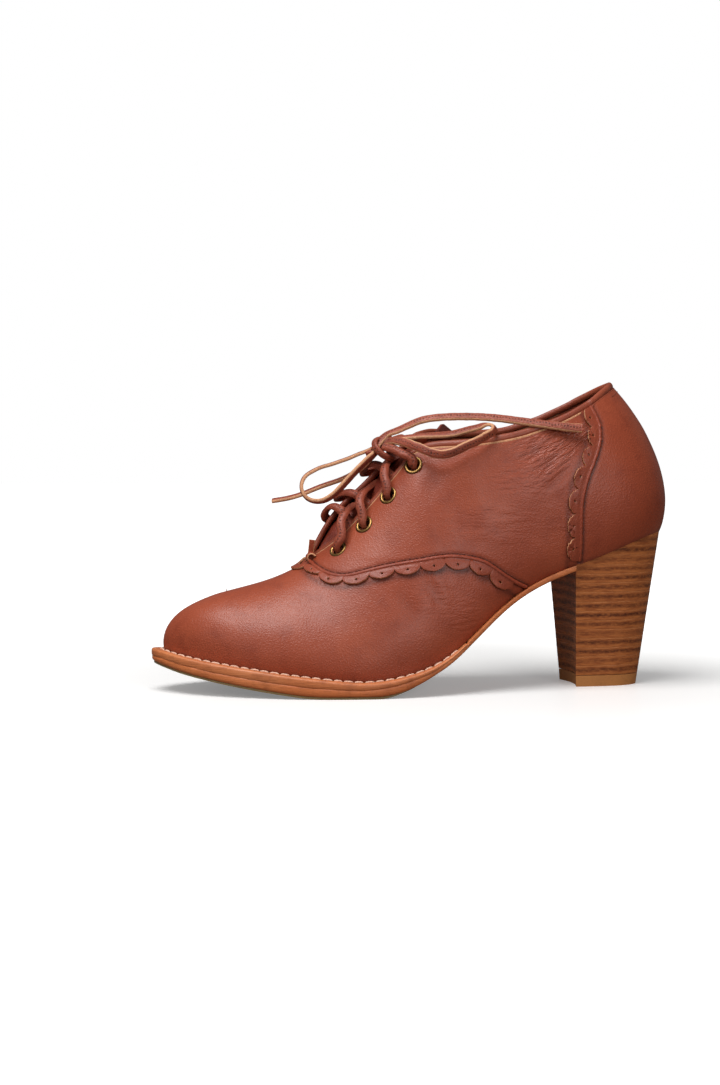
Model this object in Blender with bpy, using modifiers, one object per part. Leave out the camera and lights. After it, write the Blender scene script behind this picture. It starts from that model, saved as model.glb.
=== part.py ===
# Heeled lace-up oxford shoe, the left foot of a pair, women's EU 39.
# Tables are in millimetres: station runs forward from the counter's rearmost point, side is
# lateral when negative, height is above the floor. The model itself is in metres, toe at -X.

import math

import bmesh
import bpy
import numpy as np
from mathutils import Vector
from mathutils.bvhtree import BVHTree

MM = 0.001
ORIGIN_STATION = 127.78
ORIGIN_SIDE = -0.73
GAP = 0.3

# The last, a row for each rib: where the rib stands on the foot outline, how far the outline has
# turned there (0 at the heel, 90 along the sides, 180 at the toe), and the rib's swell above the
# foot line and below the top edge, each as a reach outwards and a reach up or down.
LAST_COLUMNS = (
    "station", "lateral", "medial", "height", "turn", "foot_out", "foot_up",
    "top_out_lateral", "top_out_medial", "top_down_lateral", "top_down_medial",
)
LAST = (
    (2.5, 0.0, 0.0, 77.0, 0.0, 6.0, 15.0, 29.0, 29.0, 31.0, 31.0),
    (6.8, -14.2, 14.2, 77.0, 32.0, 6.2, 15.5, 24.0, 24.0, 30.0, 30.0),
    (19.0, -23.0, 23.0, 73.6, 66.0, 6.8, 17.0, 14.0, 14.0, 27.0, 27.0),
    (40.0, -25.5, 25.5, 65.2, 86.0, 7.0, 18.0, 8.0, 8.0, 22.0, 22.0),
    (62.0, -26.2, 24.6, 57.3, 90.0, 6.5, 18.0, 6.5, 6.5, 20.0, 20.0),
    (85.0, -28.6, 23.0, 44.6, 90.0, 6.0, 20.0, 8.0, 8.0, 20.0, 20.0),
    (103.0, -32.4, 24.4, 29.2, 90.0, 5.5, 22.0, 12.0, 12.0, 20.0, 20.0),
    (113.0, -34.8, 26.8, 21.0, 90.0, 5.0, 22.0, 15.0, 13.0, 16.0, 17.0),
    (122.0, -37.0, 29.6, 15.6, 90.0, 5.0, 22.0, 16.0, 14.0, 14.0, 13.0),
    (140.0, -39.8, 34.4, 9.8, 90.0, 4.5, 21.0, 17.0, 17.0, 13.0, 9.0),
    (157.0, -40.6, 37.8, 7.8, 90.0, 4.0, 19.0, 19.0, 19.0, 9.0, 6.0),
    (173.0, -39.0, 39.0, 8.8, 90.0, 4.0, 18.0, 20.0, 20.0, 3.0, 2.0),
    (190.0, -35.6, 37.8, 10.7, 92.0, 3.8, 17.0, 22.0, 22.0, 0.0, 0.0),
    (205.0, -30.8, 34.6, 12.7, 97.0, 3.4, 16.0, 21.0, 21.0, 0.0, 0.0),
    (219.0, -24.4, 30.0, 14.7, 108.0, 3.0, 15.5, 20.0, 20.0, 0.0, 0.0),
    (233.5, -15.6, 23.2, 16.9, 128.0, 2.6, 15.0, 20.0, 20.0, 0.0, 0.0),
    (244.7, -5.0, 14.4, 19.0, 153.0, 2.2, 14.5, 20.0, 20.0, 0.0, 0.0),
    (250.0, 5.0, 5.0, 20.2, 180.0, 2.0, 14.0, 20.0, 20.0, 0.0, 0.0),
)
# The free top edge, collar and facing, for the first ribs: station, side, height on each side.
TOP_EDGE = (
    (27.0, 0.0, 149.5, 27.0, 0.0, 149.5),
    (33.0, -10.5, 146.0, 33.0, 10.5, 146.0),
    (45.0, -18.0, 138.0, 45.0, 18.0, 139.0),
    (62.0, -22.0, 129.4, 62.0, 22.0, 130.8),
    (82.0, -23.0, 122.8, 80.0, 23.0, 125.4),
    (104.0, -20.5, 119.4, 100.0, 21.0, 124.2),
    (120.0, -14.5, 118.4, 115.0, 15.5, 125.2),
    (128.5, -10.8, 115.4, 124.0, 10.5, 123.5),
    (137.0, -9.4, 105.2, 134.0, 8.0, 115.6),
    (151.0, -7.2, 88.6, 150.4, 8.2, 99.8),
    (167.0, -3.6, 72.2, 166.6, 8.0, 84.2),
    (180.5, 3.4, 62.2, 180.5, 3.4, 62.2),
)
THROAT_ROW = len(TOP_EDGE) - 1
# The closed vamp's ridge: station, side, height, and the ridge station that each rib ends at.
RIDGE = (
    (180.5, 3.4, 62.2), (191.0, 3.4, 56.6), (203.0, 3.8, 52.3), (213.0, 4.2, 49.6), (219.0, 4.4, 48.1),
)
RIDGE_END_STATION = (180.5, 194.0, 207.0, 217.0, 219.0, 219.0, 219.0)
UPPER_WALL = 2.0
UPPER_HEEL_GIRTH = 30.0
UPPER_COLUMNS = {"heel": 5, "side": 18, "vamp": 12}
UPPER_ROWS = 10

# Sole: margin outside the foot outline by girth, layers below the foot line by station.
SOLE_MARGIN = ((45.0, 0.6), (73.0, 2.0), (96.0, 2.6), (114.0, 3.4), (134.0, 4.6), (160.0, 5.2), (276.0, 5.8))
FLOOR_PROFILE = (
    (128.5, 8.4), (134.0, 5.2), (140.0, 2.7), (146.0, 0.8), (151.0, 0.0), (176.0, 0.0), (184.0, 0.3),
    (195.7, 1.7), (208.0, 3.5), (220.7, 5.6), (233.0, 8.0), (243.0, 10.2), (257.5, 14.6),
)
WAIST_DEPTH = ((49.0, 3.0), (104.0, 3.0), (112.0, 3.4), (122.0, 4.0))
RUBBER_START = 134.0
RUBBER_THICK = 1.0
WELT_START = 108.0
WELT_THICK = (
    (WELT_START, 0.8), (125.0, 1.7), (145.0, 2.7), (165.0, 3.4), (190.0, 4.2), (215.0, 4.2), (245.0, 3.7),
    (260.0, 3.6),
)
WELT_INSET = 2.4
INSOLE_THICK = 2.5
INSOLE_DISH = 0.8
INSOLE_INSET = WELT_INSET + GAP

BREAST_TOP = 51.0
BREAST_HOLLOW = 2.5
BREAST_LEAN = 3.2
HEEL_TAPER_SIDE = 0.60
HEEL_BACK_TOP = 2.2
HEEL_BACK_BOTTOM = 13.2
HEEL_TIP = 5.5
HEEL_TIP_SHARE = 0.07
HEEL_STACK_SHARE = 0.075
HEEL_INSET = 0.4
OUTSOLE_BACK = BREAST_TOP + 0.4

# Seams on the upper: girth round the foot outline, and the share of the rib from foot to top edge.
QUARTER_SEAM = (
    (183.6, 0.965), (181.6, 0.838), (176.7, 0.737), (170.5, 0.685), (161.0, 0.639), (147.9, 0.575),
    (133.9, 0.507), (117.4, 0.431), (110.4, 0.387), (105.1, 0.335), (99.2, 0.230), (93.7, 0.120), (88.0, 0.018),
)
THROAT_FRONT = (183.2, 3.4, 60.8)
COUNTER_SEAM = (
    (26.7, 0.985), (26.3, 0.912), (27.9, 0.830), (33.8, 0.715), (40.7, 0.623), (47.3, 0.527),
    (52.8, 0.413), (57.9, 0.234), (60.6, 0.035),
)
PIPING_RADIUS = 0.9
TRIM_LIFT = 0.45
TRIM_THICK = 0.85
TRIM_START = 1.3
SCALLOP_STEPS = 5
SCALLOP_ROUNDNESS = 0.7
# Reach of the trim from its seam, at the scallops' feet and tips: for the vamp in the middle and at
# both ends, for the counter at the start and at the end.
VAMP_SCALLOPS = {"count": 19, "foot": (1.9, 3.4), "tip": (4.6, 7.2), "mirrored": True}
COUNTER_SCALLOPS = {"count": 7, "foot": (3.2, 3.2), "tip": (6.6, 7.4), "mirrored": False}

EYELETS = ((168.9, 0.892), (155.7, 0.900), (140.6, 0.916), (126.3, 0.916))
EYELET_HOLE = 2.5
EYELET_RADIUS = 4.1
EYELET_HEIGHT = 0.8
EYELET_SIDES = 10
EYELET_LIFT = 0.45

TONGUE_WALL = 1.6
TONGUE_GAP = 0.6
TONGUE_SHARES = (0.84, 0.92, 1.0)
TONGUE_GIRTHS = (183.5, 176.0, 168.0, 160.0, 152.0, 144.0, 136.0, 129.0)
# The free top of the tongue: station, side, height, half width, fall from its middle to its edge.
TONGUE_TOP = ((121.0, 0.6, 120.6, 12.0, 2.2), (116.6, 1.2, 125.2, 6.5, 0.8), (112.4, 2.2, 129.8, 0.9, 0.1))

LACE_WIDTH = 2.6
# The direction straight out of the gap between the facings.
GAP_OUT = (0.55, 0.0, 0.83)
# How a strand leaves its eyelet: along the leather and above it.
LACE_RISE = ((0.0, 0.9), (0.3, 2.3), (2.4, 3.6))
# How high a strand arches over the gap from each side, and where it ends: share past the middle, lift.
CROSSING_LIFT = ((-1, 5.2), (1, 3.2))
CROSSING_END = (0.70, 1.3)
KNOT = (143.4, -1.2, 119.2)
KNOT_HALF = (4.6, 4.0, 4.2)
KNOT_STRANDS = (
    (-1, ((136.6, -12.6, 115.8), (139.4, -8.6, 117.6), (142.0, -3.6, 118.8))),
    (1, ((133.4, 13.2, 121.4), (138.0, 7.4, 121.0), (142.0, 1.0, 119.6))),
)
COLOURS = {
    "sole": (0.50, 0.24, 0.10), "rubber": (0.33, 0.24, 0.10), "welt": (0.62, 0.33, 0.15),
    "insole": (0.55, 0.34, 0.20), "stack": (0.30, 0.14, 0.06), "heel_rubber": (0.55, 0.35, 0.14),
    "upper": (0.34, 0.095, 0.05), "trim": (0.32, 0.09, 0.045), "lace": (0.30, 0.09, 0.05),
    "brass": (0.42, 0.27, 0.11),
}
# Free strands of the bow, each a hand-set route: station, side, height.
BOW = {
    "lace_loop_front": (
        (147.6, 0.5, 117.8), (150.4, 1.8, 116.4), (153.6, 3.0, 115.2), (158.2, 4.2, 113.2), (163.2, 4.9, 111.4),
        (168.0, 5.0, 109.8), (172.8, 4.7, 108.4), (177.1, 4.0, 106.4), (180.4, 2.8, 104.2), (182.2, 1.0, 101.4),
        (182.7, -1.0, 98.3), (181.7, -3.0, 95.2), (179.7, -4.7, 93.2), (176.9, -6.0, 92.3), (173.2, -7.2, 92.6),
        (169.8, -8.0, 94.3), (166.0, -8.2, 97.4), (162.5, -8.0, 101.1), (158.6, -7.2, 105.2), (154.7, -6.0, 109.0),
        (151.2, -4.9, 112.2), (148.6, -4.2, 114.4), (146.3, -3.2, 116.2),
    ),
    "lace_end_front": (
        (145.0, 2.0, 116.6), (146.8, 3.8, 114.2), (149.6, 5.4, 111.0), (152.7, 6.9, 107.9), (157.0, 8.8, 104.9),
        (162.1, 11.0, 102.4), (167.0, 12.6, 100.6), (171.8, 14.0, 98.9), (176.8, 15.5, 96.8), (181.5, 17.0, 94.9),
        (188.8, 19.0, 92.9), (194.8, 21.0, 91.9),
    ),
    "lace_loop_rear": (
        (138.4, -1.9, 121.1), (136.6, -3.3, 121.9), (134.9, -5.3, 122.6), (132.4, -7.2, 123.2), (129.0, -8.8, 123.5),
        (125.4, -10.0, 123.9), (121.9, -11.0, 124.1), (116.0, -12.0, 124.4), (109.9, -13.0, 125.0),
        (102.9, -15.0, 126.9), (98.3, -17.0, 128.1), (93.9, -19.6, 129.2), (91.7, -22.6, 127.9), (93.2, -25.4, 125.7),
        (96.8, -26.4, 123.8), (101.0, -27.0, 121.4), (105.3, -27.2, 119.6), (109.4, -27.2, 117.6),
        (113.5, -27.0, 115.8), (119.3, -26.2, 115.0), (124.8, -24.0, 116.5), (128.2, -21.2, 118.2),
        (131.4, -18.0, 119.6), (134.2, -14.6, 120.8), (136.6, -11.2, 121.5), (138.6, -7.9, 121.7),
        (140.6, -4.9, 121.4),
    ),
    "lace_end_rear": (
        (141.1, -0.9, 124.2), (139.6, -1.5, 125.2), (137.6, -2.3, 126.0), (135.2, -3.0, 126.9), (132.5, -4.0, 128.2),
        (129.7, -5.0, 129.5), (125.6, -6.5, 131.3), (121.3, -8.0, 132.4), (115.6, -9.6, 133.1), (109.5, -11.0, 133.4),
        (97.7, -14.0, 133.3), (87.4, -17.0, 132.5), (78.1, -20.0, 131.2), (68.7, -23.0, 129.9), (61.0, -25.2, 128.8),
        (54.6, -26.6, 128.0), (49.0, -27.6, 127.6),
    ),
}


def natural_spline(knots, values, at):
    """Twice-smooth curve through a table of values."""
    x = np.asarray(knots, float)
    y = np.asarray(values, float)
    if y.ndim == 1:
        y = y[:, None]
    n = len(x)
    h = np.diff(x)
    matrix = np.zeros((n, n))
    right = np.zeros((n, y.shape[1]))
    matrix[0, 0] = matrix[-1, -1] = 1
    for i in range(1, n - 1):
        matrix[i, i - 1:i + 2] = h[i - 1], 2 * (h[i - 1] + h[i]), h[i]
        right[i] = 6 * ((y[i + 1] - y[i]) / h[i] - (y[i] - y[i - 1]) / h[i - 1])
    bend = np.linalg.solve(matrix, right)
    at = np.asarray(at, float)
    k = np.clip(np.searchsorted(x, at, side="right") - 1, 0, n - 2)
    a = (x[k + 1] - at)[:, None]
    b = (at - x[k])[:, None]
    w = h[k][:, None]
    cubic = (bend[k] * a**3 + bend[k + 1] * b**3) / (6 * w)
    return cubic + (y[k] / w - bend[k] * w / 6) * a + (y[k + 1] / w - bend[k + 1] * w / 6) * b


def steady(table_knots, values, at):
    """Smooth curve through a table that never overshoots it."""
    x = np.asarray(table_knots, float)
    y = np.asarray(values, float)
    if y.ndim == 1:
        y = y[:, None]
    h = np.diff(x)[:, None]
    slope = np.diff(y, axis=0) / h
    both = slope[:-1] * slope[1:]
    total = slope[:-1] + slope[1:]
    m = np.zeros_like(y)
    m[0] = slope[0]
    m[-1] = slope[-1]
    m[1:-1] = np.where(both > 0, 2 * both / np.where(total == 0, 1, total), 0)
    at = np.asarray(at, float)
    k = np.clip(np.searchsorted(x, at, side="right") - 1, 0, len(x) - 2)
    w = (x[k + 1] - x[k])[:, None]
    t = (at - x[k])[:, None] / w
    start = (2 * t**3 - 3 * t**2 + 1) * y[k] + (t**3 - 2 * t**2 + t) * w * m[k]
    return start + (3 * t**2 - 2 * t**3) * y[k + 1] + (t**3 - t**2) * w * m[k + 1]


def table_value(table, at):
    """One value from a two-column table, held flat past its ends."""
    knots, values = zip(*table)
    return steady(knots, values, np.clip(np.atleast_1d(at), knots[0], knots[-1]))[:, 0]


def last_column(name):
    return np.array(LAST)[:, LAST_COLUMNS.index(name)]


def girths():
    """Length along the foot outline from the heel to each rib, the mean of both sides."""
    along = np.diff(last_column("station"))
    lateral = np.hypot(along, np.diff(last_column("lateral")))
    medial = np.hypot(along, np.diff(last_column("medial")))
    return np.concatenate([[0], np.cumsum((lateral + medial) / 2)])


RIB_GIRTH = girths()
TOE_GIRTH = RIB_GIRTH[-1]
THROAT_GIRTH = RIB_GIRTH[THROAT_ROW]
ROUND_ROWS = 3
RIDGE_SLOPE = (RIDGE[-1][2] - RIDGE[-2][2]) / (RIDGE[-1][0] - RIDGE[-2][0])


def side_name(side):
    return "lateral" if side < 0 else "medial"


def side_table(side):
    """One side's rows, carried on round the heel and the toe by the other side's rows."""
    def rows(which):
        names = ("station", which, "height", "turn", "foot_out", "foot_up", "top_out_" + which, "top_down_" + which)
        return np.column_stack([last_column(name) for name in names])

    own = rows(side_name(side))
    other = rows(side_name(-side))
    behind = other[1:ROUND_ROWS + 1][::-1].copy()
    behind[:, 3] *= -1
    ahead = other[-ROUND_ROWS - 1:-1][::-1].copy()
    ahead[:, 3] = 360 - ahead[:, 3]
    girth = np.concatenate([
        -RIB_GIRTH[1:ROUND_ROWS + 1][::-1], RIB_GIRTH, 2 * TOE_GIRTH - RIB_GIRTH[-ROUND_ROWS - 1:-1][::-1],
    ])
    return girth, np.vstack([behind, own, ahead])


def top_point(side, girth):
    """Top end of each rib: the collar and facing edge, then the ridge of the closed vamp."""
    edge = np.array(TOP_EDGE)
    own, other = (edge[:, :3], edge[:, 3:]) if side < 0 else (edge[:, 3:], edge[:, :3])
    knots = np.concatenate([-RIB_GIRTH[1:3][::-1], RIB_GIRTH[:THROAT_ROW + 1]])
    free = steady(knots, np.vstack([other[1:3][::-1], own]), np.minimum(girth, THROAT_GIRTH))
    closed = np.maximum(girth, THROAT_GIRTH)
    station = steady(RIB_GIRTH[THROAT_ROW:], RIDGE_END_STATION, closed)
    ridge = np.array(RIDGE)
    line = np.column_stack([station, natural_spline(ridge[:, 0], ridge[:, 1:], station[:, 0])])
    return np.where((girth < THROAT_GIRTH)[:, None], free, line)


def last_points(side, girth, share):
    """The upper's outer face, as a grid of girths by shares up the rib."""
    girth = np.asarray(girth, float)
    knots, table = side_table(side)
    station, across, height, turn, foot_out, foot_up, top_out, top_down = natural_spline(knots, table, girth).T
    angle = np.radians(turn)
    outward = np.column_stack([-np.cos(angle), side * np.sin(angle), np.zeros_like(angle)])
    up = np.array([0.0, 0.0, 1.0])
    foot = np.column_stack([station, across, height])
    top = top_point(side, girth)
    fall = np.where((girth >= THROAT_GIRTH) & (turn > 90), -np.cos(angle) * top_out * RIDGE_SLOPE, 0)
    low = foot + outward * foot_out[:, None] + up * foot_up[:, None]
    high = top + outward * top_out[:, None] + up * (fall - top_down)[:, None]
    v = np.asarray(share, float)[None, :, None]
    curve = (1 - v)**3 * foot[:, None] + 3 * v * (1 - v)**2 * low[:, None]
    return curve + 3 * v**2 * (1 - v) * high[:, None] + v**3 * top[:, None]


def last_point(side, girth, share):
    return last_points(side, [girth], [share])[0, 0]


def world(points):
    """Shoe millimetres to the model's metres, toe at -X."""
    p = np.asarray(points, float)
    placed = np.stack([ORIGIN_STATION - p[..., 0], p[..., 1] - ORIGIN_SIDE, p[..., 2]], axis=-1)
    return placed * MM


def foot_line():
    girth = np.linspace(0, TOE_GIRTH, 400)
    knots, table = side_table(-1)
    rows = natural_spline(knots, table, girth)
    return girth, rows[:, 0], rows[:, 2]


FOOT_GIRTH, FOOT_STATION, FOOT_HEIGHT = foot_line()


def foot_height(station):
    """Height of the upper's foot edge, carried on in a straight line past the toe."""
    slope = (FOOT_HEIGHT[-1] - FOOT_HEIGHT[-60]) / (FOOT_STATION[-1] - FOOT_STATION[-60])
    past = np.maximum(np.asarray(station, float) - FOOT_STATION[-1], 0)
    return np.interp(station, FOOT_STATION, FOOT_HEIGHT) + past * slope


def girth_at(station):
    return float(np.interp(station, FOOT_STATION, FOOT_GIRTH))


def outline(side, girth, margin):
    """Foot outline points moved outwards by a margin: station and side."""
    knots, table = side_table(side)
    rows = natural_spline(knots, table, girth)
    angle = np.radians(rows[:, 3])
    return np.column_stack([rows[:, 0] - np.cos(angle) * margin, rows[:, 1] + side * np.sin(angle) * margin])


def sole_margin(girth):
    return table_value(SOLE_MARGIN, girth)


def floor_height(station):
    return table_value(FLOOR_PROFILE, station)


def outsole_bottom(station):
    """Level under the waist, then the rubber's thickness above the floor profile."""
    join = foot_height(RUBBER_START) - floor_height(RUBBER_START)[0] - RUBBER_THICK - GAP
    depth = table_value(WAIST_DEPTH + ((RUBBER_START, float(join)),), station)
    forefoot = floor_height(station) + RUBBER_THICK + GAP
    return np.where(np.asarray(station) < RUBBER_START, foot_height(station) - depth, forefoot)


def welt_bottom(station):
    return foot_height(station) - GAP - table_value(WELT_THICK, station)


def outsole_top(station):
    under_welt = welt_bottom(station) - GAP
    return np.where(np.asarray(station) < WELT_START - 1.0, foot_height(station) - GAP, under_welt)


def finish(name, mesh, colour, roughness, metallic=0.0):
    """Object in the shoe's collection with its own plain material."""
    piece = bpy.data.objects.new(name, mesh)
    shoe.objects.link(piece)
    material = bpy.data.materials.new(name)
    material.use_nodes = True
    shader = material.node_tree.nodes["Principled BSDF"]
    shader.inputs["Base Color"].default_value = (*colour, 1.0)
    shader.inputs["Roughness"].default_value = roughness
    shader.inputs["Metallic"].default_value = metallic
    mesh.materials.append(material)
    return piece


def sheet(bm, grid, flip=False):
    """Quads over a grid of points, and the grid of their vertices."""
    placed = world(grid)
    verts = [[bm.verts.new(point) for point in row] for row in placed]
    for i in range(len(verts) - 1):
        for j in range(len(verts[0]) - 1):
            loop = [verts[i][j], verts[i + 1][j], verts[i + 1][j + 1], verts[i][j + 1]]
            bm.faces.new(loop[::-1] if flip else loop)
    return verts


def ribbon(bm, first, second, flip=False):
    for i in range(len(first) - 1):
        loop = [first[i], second[i], second[i + 1], first[i + 1]]
        bm.faces.new(loop[::-1] if flip else loop)


def to_mesh(name, bm, smooth=True):
    bmesh.ops.remove_doubles(bm, verts=bm.verts[:], dist=0.00001)
    bmesh.ops.dissolve_degenerate(bm, edges=bm.edges[:], dist=0.00001)
    bmesh.ops.recalc_face_normals(bm, faces=bm.faces[:])
    mesh = bpy.data.meshes.new(name)
    bm.to_mesh(mesh)
    bm.free()
    if smooth:
        mesh.shade_smooth()
        mesh.set_sharp_from_angle(angle=math.radians(40))
    return mesh


def slab(name, lower, upper):
    """Closed body between two grids of the same size."""
    bm = bmesh.new()
    bottom = sheet(bm, lower)
    top = sheet(bm, upper, flip=True)
    ribbon(bm, bottom[0], top[0])
    ribbon(bm, bottom[-1], top[-1], flip=True)
    ribbon(bm, [row[0] for row in bottom], [row[0] for row in top], flip=True)
    ribbon(bm, [row[-1] for row in bottom], [row[-1] for row in top])
    return to_mesh(name, bm)


def rungs(girth, margin, across=2):
    """Grid of stations and sides over the foot outline, one row for each girth."""
    lateral = outline(-1, girth, margin)
    medial = outline(1, girth, margin)
    part = np.linspace(0, 1, across)[None, :, None]
    return lateral[:, None] * (1 - part) + medial[:, None] * part


def at_height(plan, height):
    return np.concatenate([plan, height(plan[..., 0].ravel()).reshape(plan.shape[:2])[..., None]], axis=-1)


def toe_spacing(start, count, end=TOE_GIRTH - 1.6):
    """Girths from a start to the toe, closer together round the toe."""
    t = np.linspace(0, 1, count)
    return start + (end - start) * (1 - (1 - t)**1.35)


def build_outsole():
    girth = toe_spacing(girth_at(OUTSOLE_BACK), 34)
    girth = np.sort(np.append(girth, [girth_at(WELT_START - 1.5), girth_at(WELT_START - 0.8)]))
    plan = rungs(girth, sole_margin(girth))
    mesh = slab("outsole", at_height(plan, outsole_bottom), at_height(plan, outsole_top))
    finish("outsole", mesh, COLOURS["sole"], 0.5)


def build_forefoot_rubber():
    girth = toe_spacing(girth_at(RUBBER_START + 0.4), 26)
    flats = [girth_at(151.0), girth_at(176.0)]
    girth = np.sort(np.append(girth, flats))
    plan = rungs(girth, sole_margin(girth) - 0.3)
    mesh = slab("forefoot_rubber", at_height(plan, floor_height),
                at_height(plan, lambda station: floor_height(station) + RUBBER_THICK))
    finish("forefoot_rubber", mesh, COLOURS["rubber"], 0.6)


def build_welt():
    """A strip round the forefoot, from the lateral waist round the toe to the medial waist."""
    girth = toe_spacing(girth_at(WELT_START), 24, TOE_GIRTH)
    inner = np.vstack([outline(-1, girth, -WELT_INSET), outline(1, girth, -WELT_INSET)[-2::-1]])
    margin = sole_margin(girth) + 0.1
    outer = np.vstack([outline(-1, girth, margin), outline(1, girth, margin)[-2::-1]])
    plan = np.stack([inner, outer], axis=1)
    low = at_height(plan, welt_bottom)
    high = at_height(plan, lambda station: foot_height(station) - GAP)
    finish("welt", slab("welt", low, high), COLOURS["welt"], 0.5)


def build_insole():
    girth = toe_spacing(3.2, 40)
    plan = rungs(girth, np.full(len(girth), -INSOLE_INSET), 3)
    edge = at_height(plan, lambda station: foot_height(station) + INSOLE_THICK)
    edge[:, 1:-1, 2] -= INSOLE_DISH

    def underside(station):
        inside = np.asarray(station) > OUTSOLE_BACK - 1.0
        return np.where(inside, outsole_top(station) + GAP, foot_height(station))

    finish("insole", slab("insole", at_height(plan, underside), edge), COLOURS["insole"], 0.7)


def heel_plan(share, across=7):
    """The heel's section as a D, from its bottom (share 0) to the heel seat (share 1)."""
    reach = BREAST_TOP - 0.7 - LAST[0][0]
    stations = np.concatenate([[3.0], LAST[0][0] + reach * np.linspace(0.06, 1, 10)**1.25])
    girth = np.array([max(3.0, girth_at(s)) for s in stations])
    plan = rungs(girth, np.full(len(girth), -HEEL_INSET), across)
    start, end = plan[0, 0, 0], plan[-1, 0, 0]
    part = (plan[..., 0] - start) / (end - start)
    side = np.linspace(-1, 1, across)[None, :]
    front = BREAST_TOP - BREAST_LEAN * (1 - share)
    back = HEEL_BACK_TOP + (HEEL_BACK_BOTTOM - HEEL_BACK_TOP) * (1 - share)
    station = back + (front - back) * part - BREAST_HOLLOW * (1 - side**2) * part**3
    narrow = HEEL_TAPER_SIDE + (1 - HEEL_TAPER_SIDE) * share
    return np.stack([station, plan[..., 1] * narrow], axis=-1)


def build_heel():
    bottom = heel_plan(HEEL_STACK_SHARE)
    low = np.concatenate([bottom, np.full(bottom.shape[:2] + (1,), HEEL_TIP + GAP)], axis=-1)
    high = at_height(heel_plan(1.0), lambda station: foot_height(station) - GAP)
    finish("heel_stack", slab("heel_stack", low, high), COLOURS["stack"], 0.45)

    ground = heel_plan(0.0)
    tip = heel_plan(HEEL_TIP_SHARE)
    low = np.concatenate([ground, np.zeros(ground.shape[:2] + (1,))], axis=-1)
    high = np.concatenate([tip, np.full(tip.shape[:2] + (1,), HEEL_TIP)], axis=-1)
    finish("heel_tip", slab("heel_tip", low, high), COLOURS["heel_rubber"], 0.55)


def upper_girths():
    """Places of the ribs: close round the heel, even along the sides, then over the closed vamp."""
    heel = np.linspace(0, UPPER_HEEL_GIRTH, UPPER_COLUMNS["heel"], endpoint=False)
    side = np.linspace(UPPER_HEEL_GIRTH, THROAT_GIRTH, UPPER_COLUMNS["side"], endpoint=False)
    vamp = np.linspace(THROAT_GIRTH, TOE_GIRTH, UPPER_COLUMNS["vamp"] + 1)
    return np.concatenate([heel, side, vamp])


def skin(name, girth, share):
    """The upper's outer face as one open mesh, both sides joined at the heel, ridge and toe."""
    bm = bmesh.new()
    sheet(bm, last_points(-1, girth, share))
    sheet(bm, last_points(1, girth, share), flip=True)
    bmesh.ops.remove_doubles(bm, verts=bm.verts[:], dist=0.00002)
    bmesh.ops.dissolve_degenerate(bm, edges=bm.edges[:], dist=0.00001)
    bmesh.ops.recalc_face_normals(bm, faces=bm.faces[:])
    mesh = bpy.data.meshes.new(name)
    bm.to_mesh(mesh)
    bm.free()
    return mesh


def facing_out(mesh):
    """Turn the faces of an open shell so that its lateral wall looks to -Y."""
    lowest = min(mesh.polygons, key=lambda face: face.center.y)
    if lowest.normal.y > 0:
        mesh.flip_normals()
    return mesh


def build_upper():
    mesh = facing_out(skin("upper", upper_girths(), np.linspace(0, 1, UPPER_ROWS + 1)))
    mesh.shade_smooth()
    piece = finish("upper", mesh, COLOURS["upper"], 0.4)
    wall = piece.modifiers.new("wall", "SOLIDIFY")
    wall.thickness = UPPER_WALL * MM
    wall.offset = -1
    wall.use_even_offset = True


def surface_tree():
    """The upper's outer face, finely divided, for what is laid on it."""
    girth = np.concatenate([np.linspace(0, THROAT_GIRTH, 120), np.linspace(THROAT_GIRTH, TOE_GIRTH, 60)[1:]])
    mesh = facing_out(skin("surface", girth, np.linspace(0, 1, 61)))
    bm = bmesh.new()
    bm.from_mesh(mesh)
    bpy.data.meshes.remove(mesh)
    tree = BVHTree.FromBMesh(bm)
    bm.free()
    return tree


def on_surface(points):
    """Nearest points of the upper and its outward directions, in shoe millimetres."""
    seats, ways = [], []
    for point in world(points):
        place, way, _, _ = SURFACE.find_nearest(Vector(point))
        seats.append((ORIGIN_STATION - place.x / MM, place.y / MM + ORIGIN_SIDE, place.z / MM))
        ways.append((-way.x, way.y, way.z))
    return np.array(seats), np.array(ways)


def smooth_route(points, count):
    """Evenly spaced points on a smooth curve through a route."""
    route = np.asarray(points, float)
    length = np.concatenate([[0], np.cumsum(np.linalg.norm(np.diff(route, axis=0), axis=1))])
    fine = natural_spline(length, route, np.linspace(0, length[-1], 20 * len(route)))
    walked = np.concatenate([[0], np.cumsum(np.linalg.norm(np.diff(fine, axis=0), axis=1))])
    even = np.linspace(0, walked[-1], count)
    return np.column_stack([np.interp(even, walked, fine[:, i]) for i in range(3)])


def seam_route(side, seam):
    return np.array([last_point(side, girth, share) for girth, share in seam])


def blurred(ways):
    """Directions averaged along a route, so that facets don't show in what follows it."""
    padded = np.vstack([ways[:1], ways, ways[-1:]])
    mean = padded[:-2] + 2 * padded[1:-1] + padded[2:]
    return mean / np.linalg.norm(mean, axis=1)[:, None]


def tube_data(name, points, radius, sides_step=2):
    """A round cord as curve data: a poly spline through the points, with filled caps."""
    curve = bpy.data.curves.new(name, "CURVE")
    curve.dimensions = "3D"
    curve.bevel_depth = radius * MM
    curve.bevel_resolution = sides_step
    curve.use_fill_caps = True
    spline = curve.splines.new("POLY")
    spline.points.add(len(points) - 1)
    for slot, point in zip(spline.points, world(points)):
        slot.co = (*point, 1.0)
    return curve


def build_pipings():
    for side in (-1, 1):
        for name, seam, count in (("quarter_piping", QUARTER_SEAM, 30), ("counter_piping", COUNTER_SEAM, 17)):
            seats, ways = on_surface(smooth_route(seam_route(side, seam), count))
            line = seats + blurred(ways) * (PIPING_RADIUS + TRIM_LIFT)
            full = f"{name}_{side_name(side)}"
            finish(full, tube_data(full, line, PIPING_RADIUS, 1), COLOURS["trim"], 0.4)


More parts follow.
